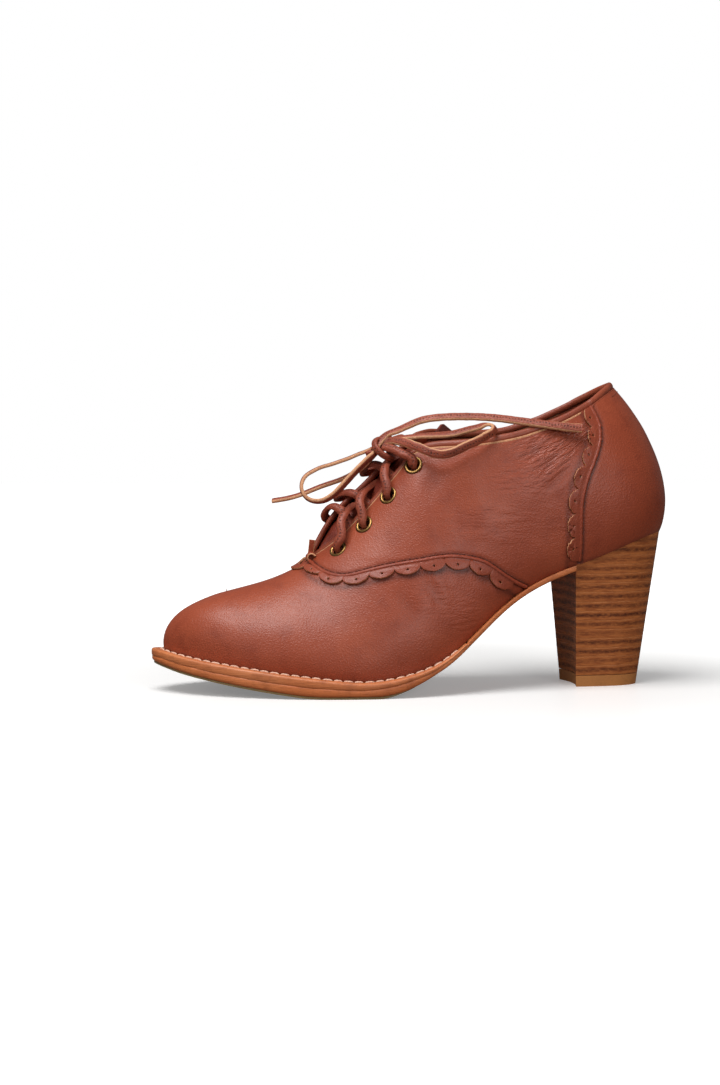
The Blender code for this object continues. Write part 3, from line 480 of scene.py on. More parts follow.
def makeMarked():  # a mark of the mesh, softened and broken up a little; used for the painted shade and for the rub
    inputs = {"Mark": 0.0, "Breakup": 0.5, "Size per metre": 300.0}
    group, given, result = newGroup("paintedShadeAndRubMarks", inputs, ("Mask",))
    broken = noiseAt(group, objectPlace(group), given["Size per metre"], 3.0)
    uneven = times(group, remap(group, broken, 0.35, 0.65, -1.0, 0.35), given["Breakup"])
    mask = times(group, given["Mark"], maths(group, "ADD", uneven, 1.0))
    feed(group, result, {"Mask": addNode(group, "Clamp", {"Value": mask}).outputs[0]})


# Finishes. Colours are screen colours: base, light and dark.

hideLooks = {  # colours, cells per metre, pebble
    "upper": ((152, 69, 43), (172, 86, 57), (122, 48, 28), 1150.0, 0.5),
    "trim": ((146, 66, 42), (168, 84, 58), (108, 42, 27), 1300.0, 0.35),
    "piping": ((148, 65, 42), (172, 87, 60), (104, 40, 25), 1400.0, 0.5),
    "tongue": ((132, 54, 38), (150, 68, 50), (98, 36, 25), 1150.0, 0.5),
    "lining": ((168, 92, 66), (184, 112, 84), (136, 70, 49), 1700.0, 0.3),
    "bead": ((144, 67, 44), (166, 88, 60), (104, 42, 27), 1500.0, 0.4),
    "insole": ((176, 118, 80), (190, 134, 96), (142, 88, 58), 1500.0, 0.25),
}
fibreLooks = {  # name, base, dark, fibres per metre
    "raw": ("rawCutEdge", (204, 150, 112), (150, 90, 60), 1300.0),
    "laceFlesh": ("laceFleshSide", (146, 84, 60), (108, 54, 37), 1100.0),
    "laceEdge": ("laceCutEdge", (208, 156, 118), (160, 100, 70), 1400.0),
}
edgeLooks = {
    "welt": ("weltLeather", (200, 117, 68), (216, 138, 90), (150, 78, 42)),
    "soleEdge": ("soleEdgeLeather", (198, 111, 60), (214, 132, 80), (150, 76, 38)),
}
rubberLooks = {
    "soleRubber": ((142, 122, 84), (112, 94, 62), 0.5),
    "heelRubber": ((204, 138, 80), (168, 108, 60), 0.42),
}
threadLooks = {
    "thread": ("seamThread", (128, 66, 50), (92, 44, 32)),
    "weltThread": ("weltThread", (232, 190, 166), (196, 146, 122)),
}
laceLooks = {"laceGrain": ("laceGrainSide", 0.3), "laceRound": ("laceRounded", 0.0)}  # name, worn edges
looks = {}


def newLook(name, fixed):  # a material, its tree and its shader, with the fixed values set
    look = bpy.data.materials.new(name)
    look.use_nodes = True
    shader = look.node_tree.nodes["Principled BSDF"]
    feed(look.node_tree, shader, fixed)
    return look, look.node_tree, shader


def toneInputs(base, light, dark, cloud, fleck):
    colours = {"Base": linear(*base), "Light": linear(*light), "Dark": linear(*dark)}
    return {**colours, "Cloud": cloud, "Fleck": fleck}


leatherSet = {
    # shade is a painted shade colour for the seams, the strip edges, the foot line and the fold troughs; rub
    # lightens the fold crests
    "shade": linear(66, 24, 16), "rub": linear(184, 100, 76), "breakup": {"shade": 0.25, "rub": 0.6},
    "roughness": (0.31, 0.44), "valleyRough": 0.05, "valley": 0.16, "cloud": 0.45, "fleck": 0.16,
    "fixed": {"Coat Weight": 0.06, "Coat Roughness": 0.26, "Specular IOR Level": 0.36},
    "pores": 0.3, "ripple": 0.35, "grainDepth": 0.00013, "wrinkleDepth": 0.00055,
    "fade": (0.55, 0.97, 1.0, 0.12),
}


def makeLeather(name, base, light, dark, cells, pebble):
    s = leatherSet
    look, tree, shader = newLook(name, s["fixed"])
    tone = useGroup(tree, "hideTone", toneInputs(base, light, dark, s["cloud"], s["fleck"]))
    inputs = {"Cells per metre": cells, "Pebble": pebble, "Pores": s["pores"], "Ripple": s["ripple"]}
    grain = useGroup(tree, "leatherGrain", inputs)
    colour = mixColour(tree, times(tree, grain["Valley"], s["valley"]), tone["Color"], linear(*dark))
    # the shade mark mixes in painted shade; the rub mark lightens the fold crests
    for mark, breakup in s["breakup"].items():
        mask = useGroup(tree, "paintedShadeAndRubMarks", {"Mark": markOn(tree, mark), "Breakup": breakup})["Mask"]
        colour = mixColour(tree, mask, colour, s[mark])
    low, high = s["roughness"]
    rough = timesPlus(tree, tone["Patch"], high - low, low)
    rough = timesPlus(tree, grain["Valley"], s["valleyRough"], rough)
    feed(tree, shader, {"Base Color": colour, "Roughness": rough})
    marks = {label: markOn(tree, mark) for label, mark in wrinkleMarks.items()}
    wrinkles = useGroup(tree, "fineWrinkles", marks)["Height"]
    height = timesPlus(tree, wrinkles, s["wrinkleDepth"] / s["grainDepth"], grain["Height"])
    edgeOn = addNode(tree, "LayerWeight", {"Blend": 0.5}).outputs["Facing"]
    fade = remap(tree, edgeOn, *s["fade"])  # the grain fades where it is seen edge on
    addBump(tree, shader, height, s["grainDepth"], fade)
    return look


def makeFibreLook(name, base, dark, fibres):
    look, tree, shader = newLook(name, {"Roughness": 0.75, "Specular IOR Level": 0.25})
    inputs = {"Base": linear(*base), "Dark": linear(*dark), "Fibres per metre": fibres}
    fibre = useGroup(tree, "cutFibre", inputs)
    feed(tree, shader, {"Base Color": fibre["Color"]})
    addBump(tree, shader, fibre["Height"], 0.0002)
    return look


laceFaceSet = {
    "tone": toneInputs((148, 68, 45), (174, 92, 68), (104, 42, 27), 0.6, 0.3),
    "grain": {"Cells per metre": 1300.0, "Pebble": 0.5, "Pores": 0.4, "Ripple": 0.5},
    "fixed": {"Specular IOR Level": 0.45, "Coat Weight": 0.12, "Coat Roughness": 0.35},
    "crack": linear(70, 30, 22), "rim": linear(196, 130, 98), "crackPitch": 1.5, "bump": 0.00025,
}


def makeLaceFace(name, worn):  # thong's grain side, cracked along its middle where it bends
    s = laceFaceSet
    look, tree, shader = newLook(name, s["fixed"])
    tone = useGroup(tree, "hideTone", s["tone"])
    grain = useGroup(tree, "leatherGrain", s["grain"])
    across = markOn(tree, "across")
    beads = maths(tree, "SINE", times(tree, markOn(tree, "along"), 2 * math.pi / s["crackPitch"]))
    wander = noiseAt(tree, objectPlace(tree), 420.0, 3.0)
    off = timesPlus(tree, remap(tree, wander, 0.3, 0.7, -0.5, 0.5), 0.5, across)
    line = remap(tree, maths(tree, "ABSOLUTE", off), 0.05, 0.22, 1.0, 0.0)
    crack = times(tree, line, remap(tree, maths(tree, "ADD", beads, wander), 0.2, 1.0))
    colour = mixColour(tree, times(tree, crack, 0.75), tone["Color"], s["crack"])
    rim = remap(tree, maths(tree, "ABSOLUTE", across), 0.74, 1.0)
    colour = mixColour(tree, times(tree, rim, worn), colour, s["rim"])
    feed(tree, shader, {"Base Color": colour, "Roughness": timesPlus(tree, tone["Patch"], 0.2, 0.4)})
    addBump(tree, shader, timesPlus(tree, crack, -1.2, grain["Height"]), s["bump"])
    return look


heelSet = {
    "breastTop": 51.0, "hollow": 2.5, "taper": 0.60, "backTop": 2.2, "backBottom": 13.2, "tip": 5.5,
    "layer": 4.62, "firstLayer": 6.1, "breastLean": 3.2, "stackFrom": 0.075, "tipTo": 0.07, "inset": -0.4,
    "rows": 90, "ridge": 0.0035, "joint": 0.002,  # each layer swells a little between its joints
}
stackSet = {
    "pale": linear(200, 121, 66), "brown": linear(158, 87, 45), "dark": linear(86, 41, 21),
    "line": linear(222, 148, 92), "mottleStretch": (420, 420, 900),
    "waveStretch": (38, 38, 90), "waveBy": 0.0013, "streakStretch": (130, 130, 900),
    "fixed": {"Specular IOR Level": 0.3, "Coat Weight": 0.06, "Coat Roughness": 0.3}, "bump": 0.00035,
}


def makeStackLook():  # the heel's layers: a light line at each joint over mottled brown
    s = stackSet
    look, tree, shader = newLook("stackedHeel", s["fixed"])
    height = addNode(tree, "SeparateXYZ", {0: objectPlace(tree)}).outputs["Z"]
    wave = noiseAt(tree, objectPlace(tree, s["waveStretch"]), 1.0)
    above = maths(tree, "SUBTRACT", timesPlus(tree, wave, s["waveBy"], height), heelSet["firstLayer"] * mm)
    phase = maths(tree, "DIVIDE", above, heelSet["layer"] * mm)
    within = maths(tree, "FRACT", phase)
    number = maths(tree, "FLOOR", phase)
    layer = addNode(tree, "TexWhiteNoise", {"W": number}, noise_dimensions="1D").outputs["Value"]
    streak = noiseAt(tree, objectPlace(tree, s["streakStretch"]), 1.0, 4.0, 0.7)
    mottle = noiseAt(tree, objectPlace(tree, s["mottleStretch"]), 1.0, 3.0, 0.65)
    dip = maths(tree, "ABSOLUTE", maths(tree, "SUBTRACT", within, 0.62))
    darkness = times(tree, remap(tree, dip, 0.05, 0.36, 1.0, 0.0), remap(tree, mottle, 0.3, 0.66, 0.35, 1.0))
    darkness = times(tree, darkness, timesPlus(tree, layer, 0.6, 0.45))
    colour = mixColour(tree, remap(tree, streak, 0.35, 0.7), s["pale"], s["brown"])
    colour = mixColour(tree, darkness, colour, s["dark"])
    line = times(tree, remap(tree, within, 0.02, 0.15, 1.0, 0.0), remap(tree, streak, 0.3, 0.6, 1.0, 0.45))
    colour = mixColour(tree, times(tree, line, 0.85), colour, s["line"])
    feed(tree, shader, {"Base Color": colour, "Roughness": timesPlus(tree, mottle, 0.25, 0.38)})
    addBump(tree, shader, timesPlus(tree, streak, 0.5, times(tree, line, -0.6)), s["bump"])
    return look


def makeRubberLook(name, base, dark, rough):
    look, tree, shader = newLook(name, {"Specular IOR Level": 0.4})
    tone = useGroup(tree, "hideTone", toneInputs(base, base, dark, 0.4, 0.35))
    uneven = timesPlus(tree, tone["Patch"], 0.2, rough - 0.1)
    feed(tree, shader, {"Base Color": tone["Color"], "Roughness": uneven})
    addBump(tree, shader, noiseAt(tree, objectPlace(tree), 1500.0), 0.00008)
    return look


def makeEdgeLook(name, base, light, dark):  # burnished sole edge with faint lengthways lines
    fixed = {"Specular IOR Level": 0.4, "Coat Weight": 0.15, "Coat Roughness": 0.35}
    look, tree, shader = newLook(name, fixed)
    tone = useGroup(tree, "hideTone", toneInputs(base, light, dark, 0.6, 0.3))
    lines = noiseAt(tree, objectPlace(tree, (90, 90, 1500)), 1.0, 4.0, 0.7)
    mask = times(tree, remap(tree, lines, 0.48, 0.72), 0.55)
    colour = mixColour(tree, mask, tone["Color"], linear(*dark))
    feed(tree, shader, {"Base Color": colour, "Roughness": timesPlus(tree, tone["Patch"], 0.25, 0.35)})
    addBump(tree, shader, lines, 0.0002)
    return look


def makeBrassLook():  # antique brass: dark in the hollows, bright where it rubs
    look, tree, shader = newLook("antiqueBrass", {"Metallic": 1.0})
    tarnish = noiseAt(tree, objectPlace(tree), 700.0, 4.0, 0.7)
    rim = times(tree, markOn(tree, "rub"), 0.75)
    bright = maths(tree, "ADD", rim, remap(tree, tarnish, 0.45, 0.75, -0.15, 0.35))
    bright = addNode(tree, "Clamp", {"Value": bright}).outputs[0]
    colour = mixColour(tree, bright, linear(92, 68, 34), linear(178, 140, 86))
    feed(tree, shader, {"Base Color": colour, "Roughness": remap(tree, bright, 0.0, 1.0, 0.46, 0.28)})
    addBump(tree, shader, tarnish, 0.00006)
    return look


def makeThreadLook(name, base, dark):  # twisted sewing thread
    look, tree, shader = newLook(name, {"Roughness": 0.7, "Specular IOR Level": 0.3})
    twist = noiseAt(tree, objectPlace(tree), 2600.0)
    colour = mixColour(tree, remap(tree, twist, 0.4, 0.7), linear(*base), linear(*dark))
    feed(tree, shader, {"Base Color": colour})
    addBump(tree, shader, twist, 0.00012)
    return look


def makeLooks():
    for makeGroup in (makeLeatherGrain, makeHideTone, makeCutFibre, makeMarked, makeFineWrinkles):
        makeGroup()
    for key, row in hideLooks.items():
        looks[key] = makeLeather(key + "Leather", *row)
    for key, row in rubberLooks.items():
        looks[key] = makeRubberLook(key, *row)
    tables = (
        (fibreLooks, makeFibreLook), (edgeLooks, makeEdgeLook), (threadLooks, makeThreadLook),
        (laceLooks, makeLaceFace),
    )
    for table, make in tables:
        for key, row in table.items():
            looks[key] = make(*row)
    looks["stack"] = makeStackLook()
    looks["brass"] = makeBrassLook()
    print("finishes made")


# Leather thong, a flat strip that the laces and the raw edges are cut from

laceCut = {"width": 4.3, "thick": 1.6, "crown": 0.35, "corner": 0.35, "step": 0.55}
roundLooks = ("laceRound", "laceRound", "laceRound")


def thongProfile(width, thick, crown, corner):  # across, up, and which side each following face is
    half, rise = width / 2, thick / 2
    flat = np.linspace(-(half - corner), half - corner, 6)
    swell = crown * (1 - (flat / half)**2)
    top = [(a, rise + c, 0) for a, c in zip(flat, swell)]
    right = [(half, rise - corner, 2), (half + 0.04, 0.0, 2), (half, corner - rise, 2)]
    bottom = [(a, -rise + 0.7 * c, 1) for a, c in zip(flat[::-1], swell)]
    left = [(-half, corner - rise, 2), (-half - 0.04, 0.0, 2), (-half, rise - corner, 2)]
    top[-1] = top[-1][:2] + (2,)
    bottom[-1] = bottom[-1][:2] + (2,)
    return top + right + bottom + left


def directionsAlong(table, share):  # directions given at a few shares of the length, blended between
    shares = [row[0] for row in table]
    ways = unit([row[1] for row in table])
    return unit(np.column_stack([np.interp(share, shares, ways[:, i]) for i in range(3)]))


def thongLoops(route, faceTo, cut, seed=0.0):
    line = evenRoute(route, cut.get("step", 0.55))
    walked = lengthAlong(line)
    tangent = unit(np.gradient(line, axis=0))
    normal = directionsAlong(faceTo, walked / walked[-1])
    normal = unit(normal - tangent * np.sum(normal * tangent, axis=1, keepdims=True))
    for _ in range(6):
        normal[1:-1] = unit(normal[:-2] + 2 * normal[1:-1] + normal[2:])
    side = np.cross(tangent, normal)
    profile = thongProfile(cut["width"], cut["thick"], cut["crown"], cut["corner"])
    across = np.array([p[0] for p in profile])
    up = np.array([p[1] for p in profile])
    uneven = 1 + 0.025 * np.sin(walked * 0.9 + seed * 3) + 0.015 * np.sin(walked * 2.3 + seed * 7)
    loops = line[:, None] + side[:, None] * (across[None, :, None] * uneven[:, None, None])
    loops = loops + normal[:, None] * up[None, :, None]
    return line, loops, walked, across / (cut["width"] / 2), [p[2] for p in profile]


def thongPiece(name, strands, slot, stands=(), looksUsed=("laceGrain", "laceFlesh", "laceEdge")):
    parts, along, over, faceLooks = [], [], [], []
    for number, strand in enumerate(strands):
        cut = {**laceCut, **strand.get("cut", {})}
        line, loops, walked, across, sides = thongLoops(
            strand["route"], strand["faceTo"], cut, strand.get("seed", number),
        )
        parts.append(rings(loops))
        along.append(np.repeat(walked, loops.shape[1]))
        over.append(np.tile(across, len(loops)))
        faceLooks += list(sides) * (len(loops) - 1) + [2, 2]
    points, faces = joinMeshes(parts)
    marks = {"along": np.concatenate(along), "across": np.concatenate(over)}
    dress = [looks[key] for key in looksUsed]
    piece = meshPiece(name, points, faces, dress, slot, stands, faceLooks, marks=marks)
    return piece, line


# The free strands of the bow: routes as the shoe's solids have them, and where the grain side looks

bowSet = {
    "lace_loop_front": {
        "route": (
            (147.6, 0.5, 117.8), (150.4, 1.8, 116.4), (153.6, 3.0, 115.2), (158.2, 4.2, 113.2),
            (163.2, 4.9, 111.4), (168.0, 5.0, 109.8), (172.8, 4.7, 108.4), (177.1, 4.0, 106.4),
            (180.4, 2.8, 104.2), (182.2, 1.0, 101.4), (182.7, -1.0, 98.3), (181.7, -3.0, 95.2),
            (179.7, -4.7, 93.2), (176.9, -6.0, 92.3), (173.2, -7.2, 92.6), (169.8, -8.0, 94.3),
            (166.0, -8.2, 97.4), (162.5, -8.0, 101.1), (158.6, -7.2, 105.2), (154.7, -6.0, 109.0),
            (151.2, -4.9, 112.2), (148.6, -4.2, 114.4), (146.3, -3.2, 116.2),
        ),
        "faceTo": (
            (0.0, (0, -0.1, 1)), (0.35, (0.3, 0.05, 1)), (0.5, (1, 0.35, 0)), (0.62, (0.3, -0.25, -1)),
            (0.75, (-0.5, -0.75, -0.7)), (1.0, (-0.5, -0.7, -0.7)),
        ),
    },
    "lace_end_front": {
        "route": (
            (145.0, 2.0, 116.6), (146.8, 3.8, 114.2), (149.6, 5.4, 111.0), (152.7, 6.9, 107.9),
            (157.0, 8.8, 104.9), (162.1, 11.0, 102.4), (167.0, 12.6, 100.6), (171.8, 14.0, 98.9),
            (176.8, 15.5, 96.8), (181.5, 17.0, 94.9), (188.8, 19.0, 92.9), (194.8, 21.0, 91.9),
        ),
        "faceTo": ((0.0, (0.5, -0.5, 0.8)), (0.4, (0.2, -0.25, 1)), (1.0, (0, -0.3, 1))),
    },
    "lace_loop_rear": {
        "route": (
            (138.4, -1.9, 121.1), (136.6, -3.3, 121.9), (134.9, -5.3, 122.6), (132.4, -7.2, 123.2),
            (129.0, -8.8, 123.5), (125.4, -10.0, 123.9), (121.9, -11.0, 124.1), (116.0, -12.0, 124.4),
            (109.9, -13.0, 125.0), (102.9, -15.0, 126.9), (98.3, -17.0, 128.1), (93.9, -19.6, 129.2),
            (91.7, -22.6, 127.9), (93.2, -25.4, 125.7), (96.8, -26.4, 123.8), (101.0, -27.0, 121.4),
            (105.3, -27.2, 119.6), (109.4, -27.2, 117.6), (113.5, -27.0, 115.8), (119.3, -26.2, 115.0),
            (124.8, -24.0, 116.5), (128.2, -21.2, 118.2), (131.4, -18.0, 119.6), (134.2, -14.6, 120.8),
            (136.6, -11.2, 121.5), (138.6, -7.9, 121.7), (140.6, -4.9, 121.4),
        ),
        "faceTo": (
            (0.0, (0, -0.3, 1)), (0.3, (0, -0.6, 0.8)), (0.44, (-0.7, -0.5, 0.5)), (0.5, (-1, -0.5, 0)),
            (0.6, (-0.2, -1, -0.25)), (0.85, (0, -1, -0.1)), (1.0, (0, -0.8, 0.5)),
        ),
    },
    "lace_end_rear": {
        "route": (
            (147.4, -3.4, 117.2), (145.6, -2.8, 119.6), (143.4, -1.8, 122.2), (141.1, -0.9, 124.2),
            (139.6, -1.5, 125.2), (137.6, -2.3, 126.0), (135.2, -3.0, 126.9), (132.5, -4.0, 128.2),
            (129.7, -5.0, 129.5), (125.6, -6.5, 131.3), (121.3, -8.0, 132.4), (115.6, -9.6, 133.1),
            (109.5, -11.0, 133.4), (97.7, -14.0, 133.3), (87.4, -17.0, 132.5), (78.1, -20.0, 131.2),
            (68.7, -23.0, 129.9), (61.0, -25.2, 128.8), (54.6, -26.6, 128.0), (49.0, -27.6, 127.6),
        ),
        "faceTo": (
            (0.0, (0.3, -0.4, 1)), (0.3, (0, -0.75, 0.8)), (0.8, (0, -0.8, 0.6)), (1.0, (0, -0.95, 0.3)),
        ),
    },
}


def makeBow():
    for number, (name, strand) in enumerate(bowSet.items()):
        route = np.array(strand["route"])
        one = {"route": route, "faceTo": strand["faceTo"], "seed": number + 1.0}
        piece, line = thongPiece(name + "_thong", [one], "lace_leather", [name])
    print("bow laid")


# The laced part: each strand comes up through its eyelet, over the gap and under the other facing

eyeletPlaces = ((168.9, 0.892), (155.7, 0.900), (140.6, 0.916), (126.3, 0.916))
lacingSet = {
    "near": (  # over the lateral facing, between the eyelet's mouth and the dive under the medial facing
        (
            (165.0, -12.8, 75.6), (165.0, -11.0, 80.7), (163.2, -8.0, 85.3), (159.4, -3.0, 88.3),
            (156.3, 1.6, 89.8),
        ),
        (
            (154.8, -13.4, 85.4), (155.7, -11.5, 90.4), (154.2, -7.5, 95.2), (151.2, -2.5, 97.2),
            (148.6, 2.8, 98.2),
        ),
        (
            (142.9, -14.4, 98.9), (143.6, -12.0, 103.5), (143.0, -8.6, 107.6), (141.0, -2.8, 110.0),
            (138.6, 3.0, 111.4),
        ),
    ),
    "far": (  # over the medial facing, under the near strand, to the dive under the lateral facing
        (
            (169.4, 12.6, 84.0), (168.6, 9.0, 87.6), (166.2, 5.0, 89.2), (163.6, 1.6, 88.0),
            (161.4, -2.0, 85.0),
        ),
        (
            (163.0, 13.6, 93.4), (161.4, 9.4, 95.2), (158.0, 4.0, 96.0), (155.0, 0.0, 94.8),
            (152.2, -3.4, 92.2),
        ),
        (
            (149.8, 13.6, 106.0), (148.8, 9.4, 108.6), (145.6, 4.4, 110.0), (142.6, 0.0, 108.6),
            (139.8, -4.0, 105.4),
        ),
    ),
    "edgeGirth": 0.55, "edgeShare": 0.972, "edgeDeep": 3.3,  # where a strand slips under the other facing
    "deep": 4.6,  # how far below the leather a strand starts and ends
    "mouth": 1.6,  # height at which it leaves the eyelet
    "cut": {"width": 4.7, "thick": 2.0, "crown": 0.8, "corner": 0.8},
}
knotSet = {
    "nearTop": ((130.6, -16.0, 112.4), (134.2, -14.6, 115.0), (138.4, -10.4, 117.4), (142.6, -5.2, 118.6)),
    "farTop": ((129.2, 14.6, 122.4), (133.6, 9.6, 122.8), (138.4, 4.4, 121.4), (142.6, 0.4, 119.8)),
    "wrap": (
        (138.4, -4.6, 112.9), (141.2, -6.8, 113.6), (144.4, -7.6, 115.3), (146.8, -6.8, 118.0),
        (147.2, -4.2, 120.6), (145.0, -0.8, 122.6), (141.6, 2.2, 122.4), (139.0, 4.6, 120.0),
        (138.2, 5.0, 116.8), (138.6, 2.6, 114.4), (139.6, -1.6, 113.6),
    ),
    "core": (
        (149.4, 1.4, 115.6), (146.4, -1.2, 117.0), (143.4, -2.0, 118.8), (140.4, -1.8, 120.8),
        (137.8, -1.4, 122.8),
    ),
}


def surfaceFrame(side, girth, share):  # a place on the upper and its outward direction
    near = lastPoints(side, [girth - 0.5, girth, girth + 0.5], [share - 0.01, share, share + 0.01])
    out = np.cross(near[2, 1] - near[0, 1], near[1, 2] - near[1, 0]) * -side
    return near[1, 1], unit(out)


def strandThrough(side, low, middle, dive):  # from one eyelet's hole, over the gap, to under the next
    seat, way = surfaceFrame(side, *eyeletPlaces[low])
    start = [seat - way * lacingSet["deep"], seat - way * 1.4, seat + way * lacingSet["mouth"]]
    if not dive:
        return np.vstack([start, middle])
    hereGirth, nextGirth = eyeletPlaces[low][0], eyeletPlaces[low + 1][0]
    between = hereGirth + (nextGirth - hereGirth) * lacingSet["edgeGirth"]
    edge, edgeWay = surfaceFrame(-side, between, lacingSet["edgeShare"])
    under, underWay = surfaceFrame(-side, *eyeletPlaces[low + 1])
    end = [edge - edgeWay * lacingSet["edgeDeep"], under - underWay * lacingSet["deep"]]
    return np.vstack([start, middle, end])


strandFaces = {  # where each strand's grain side looks, by share of its length
    "near": (
        (0.0, (0.9, 0.3, -0.3)), (0.2, (0.55, -0.8, 0.15)), (0.45, (0.55, -0.8, 0.15)),
        (0.62, (0.5, -0.35, 0.8)), (1.0, (0.3, 0.5, 0.8)),
    ),
    "far": (
        (0.0, (0.9, -0.3, -0.3)), (0.2, (0.55, 0.75, 0.3)), (0.4, (0.6, 0.2, 0.9)),
        (0.6, (0.5, -0.4, 0.8)), (1.0, (0.4, -0.5, 0.7)),
    ),
    "nearTop": ((0.0, (0.9, 0.3, -0.3)), (0.3, (0.1, -0.9, 0.5)), (1.0, (0.2, -0.8, 0.6))),
    "farTop": ((0.0, (0.9, -0.3, -0.3)), (0.3, (0.2, 0.5, 0.85)), (1.0, (0.3, 0.3, 0.9))),
    "wrap": (
        (0.0, (-0.2, -0.8, -0.6)), (0.2, (0.5, -0.8, -0.5)), (0.36, (0.9, -0.5, 0.3)), (0.5, (0.3, -0.1, 1)),
        (0.7, (-0.5, 0.7, 0.7)), (0.85, (-0.4, 1, -0.4)), (1.0, (-0.2, 0.3, -1)),
    ),
    "core": ((0.0, (-0.5, -0.7, 0.6)), (1.0, (-0.5, -0.7, 0.6))),
}


def laceStrand(kind, route, seed, cut=None):
    return {"route": route, "faceTo": strandFaces[kind], "seed": seed, "cut": cut or lacingSet["cut"]}


def makeLacing():
    for low in range(3):
        crossed = [
            laceStrand("near", strandThrough(-1, low, lacingSet["near"][low], True), low + 1.5),
            laceStrand("far", strandThrough(1, low, lacingSet["far"][low], True), low + 5.5),
        ]
        name, stands = f"lace_strands_{low + 1}", [f"lace_crossing_{low + 1}"]
        thongPiece(name, crossed, "lace_leather", stands, roundLooks)
    knotted = [
        laceStrand("nearTop", strandThrough(-1, 3, knotSet["nearTop"], False), 2.5),
        laceStrand("farTop", strandThrough(1, 3, knotSet["farTop"], False), 8.5),
        laceStrand("wrap", knotSet["wrap"], 3.5, {"width": 3.4, "thick": 1.5}),
        laceStrand("core", knotSet["core"], 4.5, {"width": 4.6, "thick": 3.0}),
    ]
    thongPiece("lace_knot_wrapped", knotted, "lace_leather", ["lace_knot"], roundLooks)
    print("laces run through the eyelets")


# At the throat's foot: a corner of leather standing up with its raw edge, and a curled cut end

throatSet = {
    "corner": {
        "route": ((178.4, 0.4, 63.6), (178.2, 0.0, 66.8), (177.9, -0.6, 70.0), (177.6, -1.0, 73.2)),
        "faceTo": ((0.0, (0.2, -1.0, 0.1)), (1.0, (0.35, -1.0, 0.1))),
        "cut": {"width": 3.0, "thick": 1.1, "crown": 0.1},
    },
    "curl": {
        "route": (
            (176.4, -2.6, 65.2), (177.4, -2.2, 66.4), (178.8, -1.6, 66.6), (180.0, -1.2, 65.4),
            (179.9, -1.0, 63.8), (178.8, -1.0, 62.8),
        ),
        "faceTo": ((0.0, (0.0, 0.2, 1.0)), (0.5, (1.0, -0.2, 0.4)), (1.0, (0.3, 0.0, -1.0))),
        "cut": {"width": 2.2, "thick": 0.9, "crown": 0.1},
    },
}


def makeThroatCorner():
    strands = [throatSet["corner"], throatSet["curl"]]
    thongPiece("throat_corner", strands, "trim_leather", looksUsed=("piping", "piping", "raw"))
    print("throat corner made")


# The upper's skin: vamp, quarters and counter in one hide, with its creases as soft troughs

quarterSeam = (
    (183.6, 0.965), (181.6, 0.838), (176.7, 0.737), (170.5, 0.685), (161.0, 0.639), (147.9, 0.575),
    (133.9, 0.507), (117.4, 0.431), (110.4, 0.387), (105.1, 0.335), (99.2, 0.230), (93.7, 0.120),
    (88.0, 0.018),
)
counterSeam = (
    (26.7, 0.985), (26.3, 0.912), (27.9, 0.830), (33.8, 0.715), (40.7, 0.623), (47.3, 0.527), (52.8, 0.413),
    (57.9, 0.234), (60.6, 0.035),
)
upperSet = {
    "columns": 336, "rows": 108,
    "edgeDrop": ((0.0, 1.2), (20.0, 1.1), (45.0, 0.8), (62.0, 0.3), (186.0, 0.3)), "counterTop": (25.5, 27.5),
    "easeReach": 16.0, "easeTimes": 140,
    "step": 0.45, "stepHalf": 0.8, "groove": 0.4, "grooveLine": (1.1, 0.8), "holeRadius": 2.9, "wall": 2.0,
    "weld": 0.15, "swells": ((26.0, 2.0, 0.45), (11.0, 4.0, 0.12)),
}
foldSet = {"across": 0.5, "along": 0.8, "gain": 1.6, "levelStretch": (0.12, 0.12, 0.42), "medial": 0.6}
paintedShadeAndRubSet = {  # painted shade in the seams and beside the strips, along the foot line and in the folds: how strong, how far out and how wide; rub lightens the fold crests
    "seam": 0.75, "seamLine": (1.0, 0.9), "strip": 0.6, "vampStrip": (6.0, 1.6), "counterStrip": (6.6, 1.4),
    "foot": 0.35, "footReach": 0.05, "fold": 0.45, "rub": 0.5,
}
# Fine wrinkles: the fan spreads from its apex, the level ones fill rounded patches. Station, height.
wrinkleFan = {
    "apex": (38.5, 131.0), "towards": (-27.0, 30.0), "near": (3.0, 8.0), "far": (22.0, 58.0), "strength": 0.9,
    "pitch": 1.15, "long": 7.0, "spread": 0.6, "even": 20.0, "fold": 0.16,
}
levelWrinkles = (
    {"middle": (96.0, 82.0), "half": (36, 16), "strength": 0.22, "fold": 0.05},
    {"middle": (80.0, 104.0), "half": (26, 16), "strength": 0.30, "fold": 0.05},
    {"middle": (126.0, 48.0), "half": (20, 14), "strength": 0.22, "fold": 0.06},
    {"middle": (108.0, 38.0), "half": (14, 14), "strength": 0.24, "fold": 0.07},
    {"middle": (60.0, 84.0), "half": (14, 14), "strength": 0.14, "fold": 0.03},
)
# Single soft creases, each along a short line: station and height of its points, width and depth.
softCreases = (
    {"line": ((131.0, 58.0), (124.0, 50.0), (119.0, 40.0)), "width": 3.4, "depth": 0.32},
    {"line": ((142.0, 52.0), (137.0, 44.0), (134.0, 35.0)), "width": 4.2, "depth": 0.25},
    {"line": ((104.0, 60.0), (98.0, 55.0), (90.0, 53.0)), "width": 3.2, "depth": 0.25},
    {"line": ((64.0, 122.0), (72.0, 116.0), (84.0, 111.0)), "width": 2.4, "depth": 0.35},
    {"line": ((58.0, 118.0), (66.0, 110.0), (76.0, 104.0)), "width": 2.2, "depth": 0.30},
    {"line": ((54.0, 112.0), (60.0, 104.0), (69.0, 97.0)), "width": 2.4, "depth": 0.24},
    {"line": ((158.0, 62.0), (148.0, 61.0), (139.0, 63.0)), "width": 3.0, "depth": 0.16},
    {"line": ((116.0, 108.0), (122.0, 100.0), (126.0, 90.0)), "width": 4.0, "depth": 0.22},
)


def seamRoute(side, seam):
    return np.array([lastPoint(side, girth, share) for girth, share in seam])


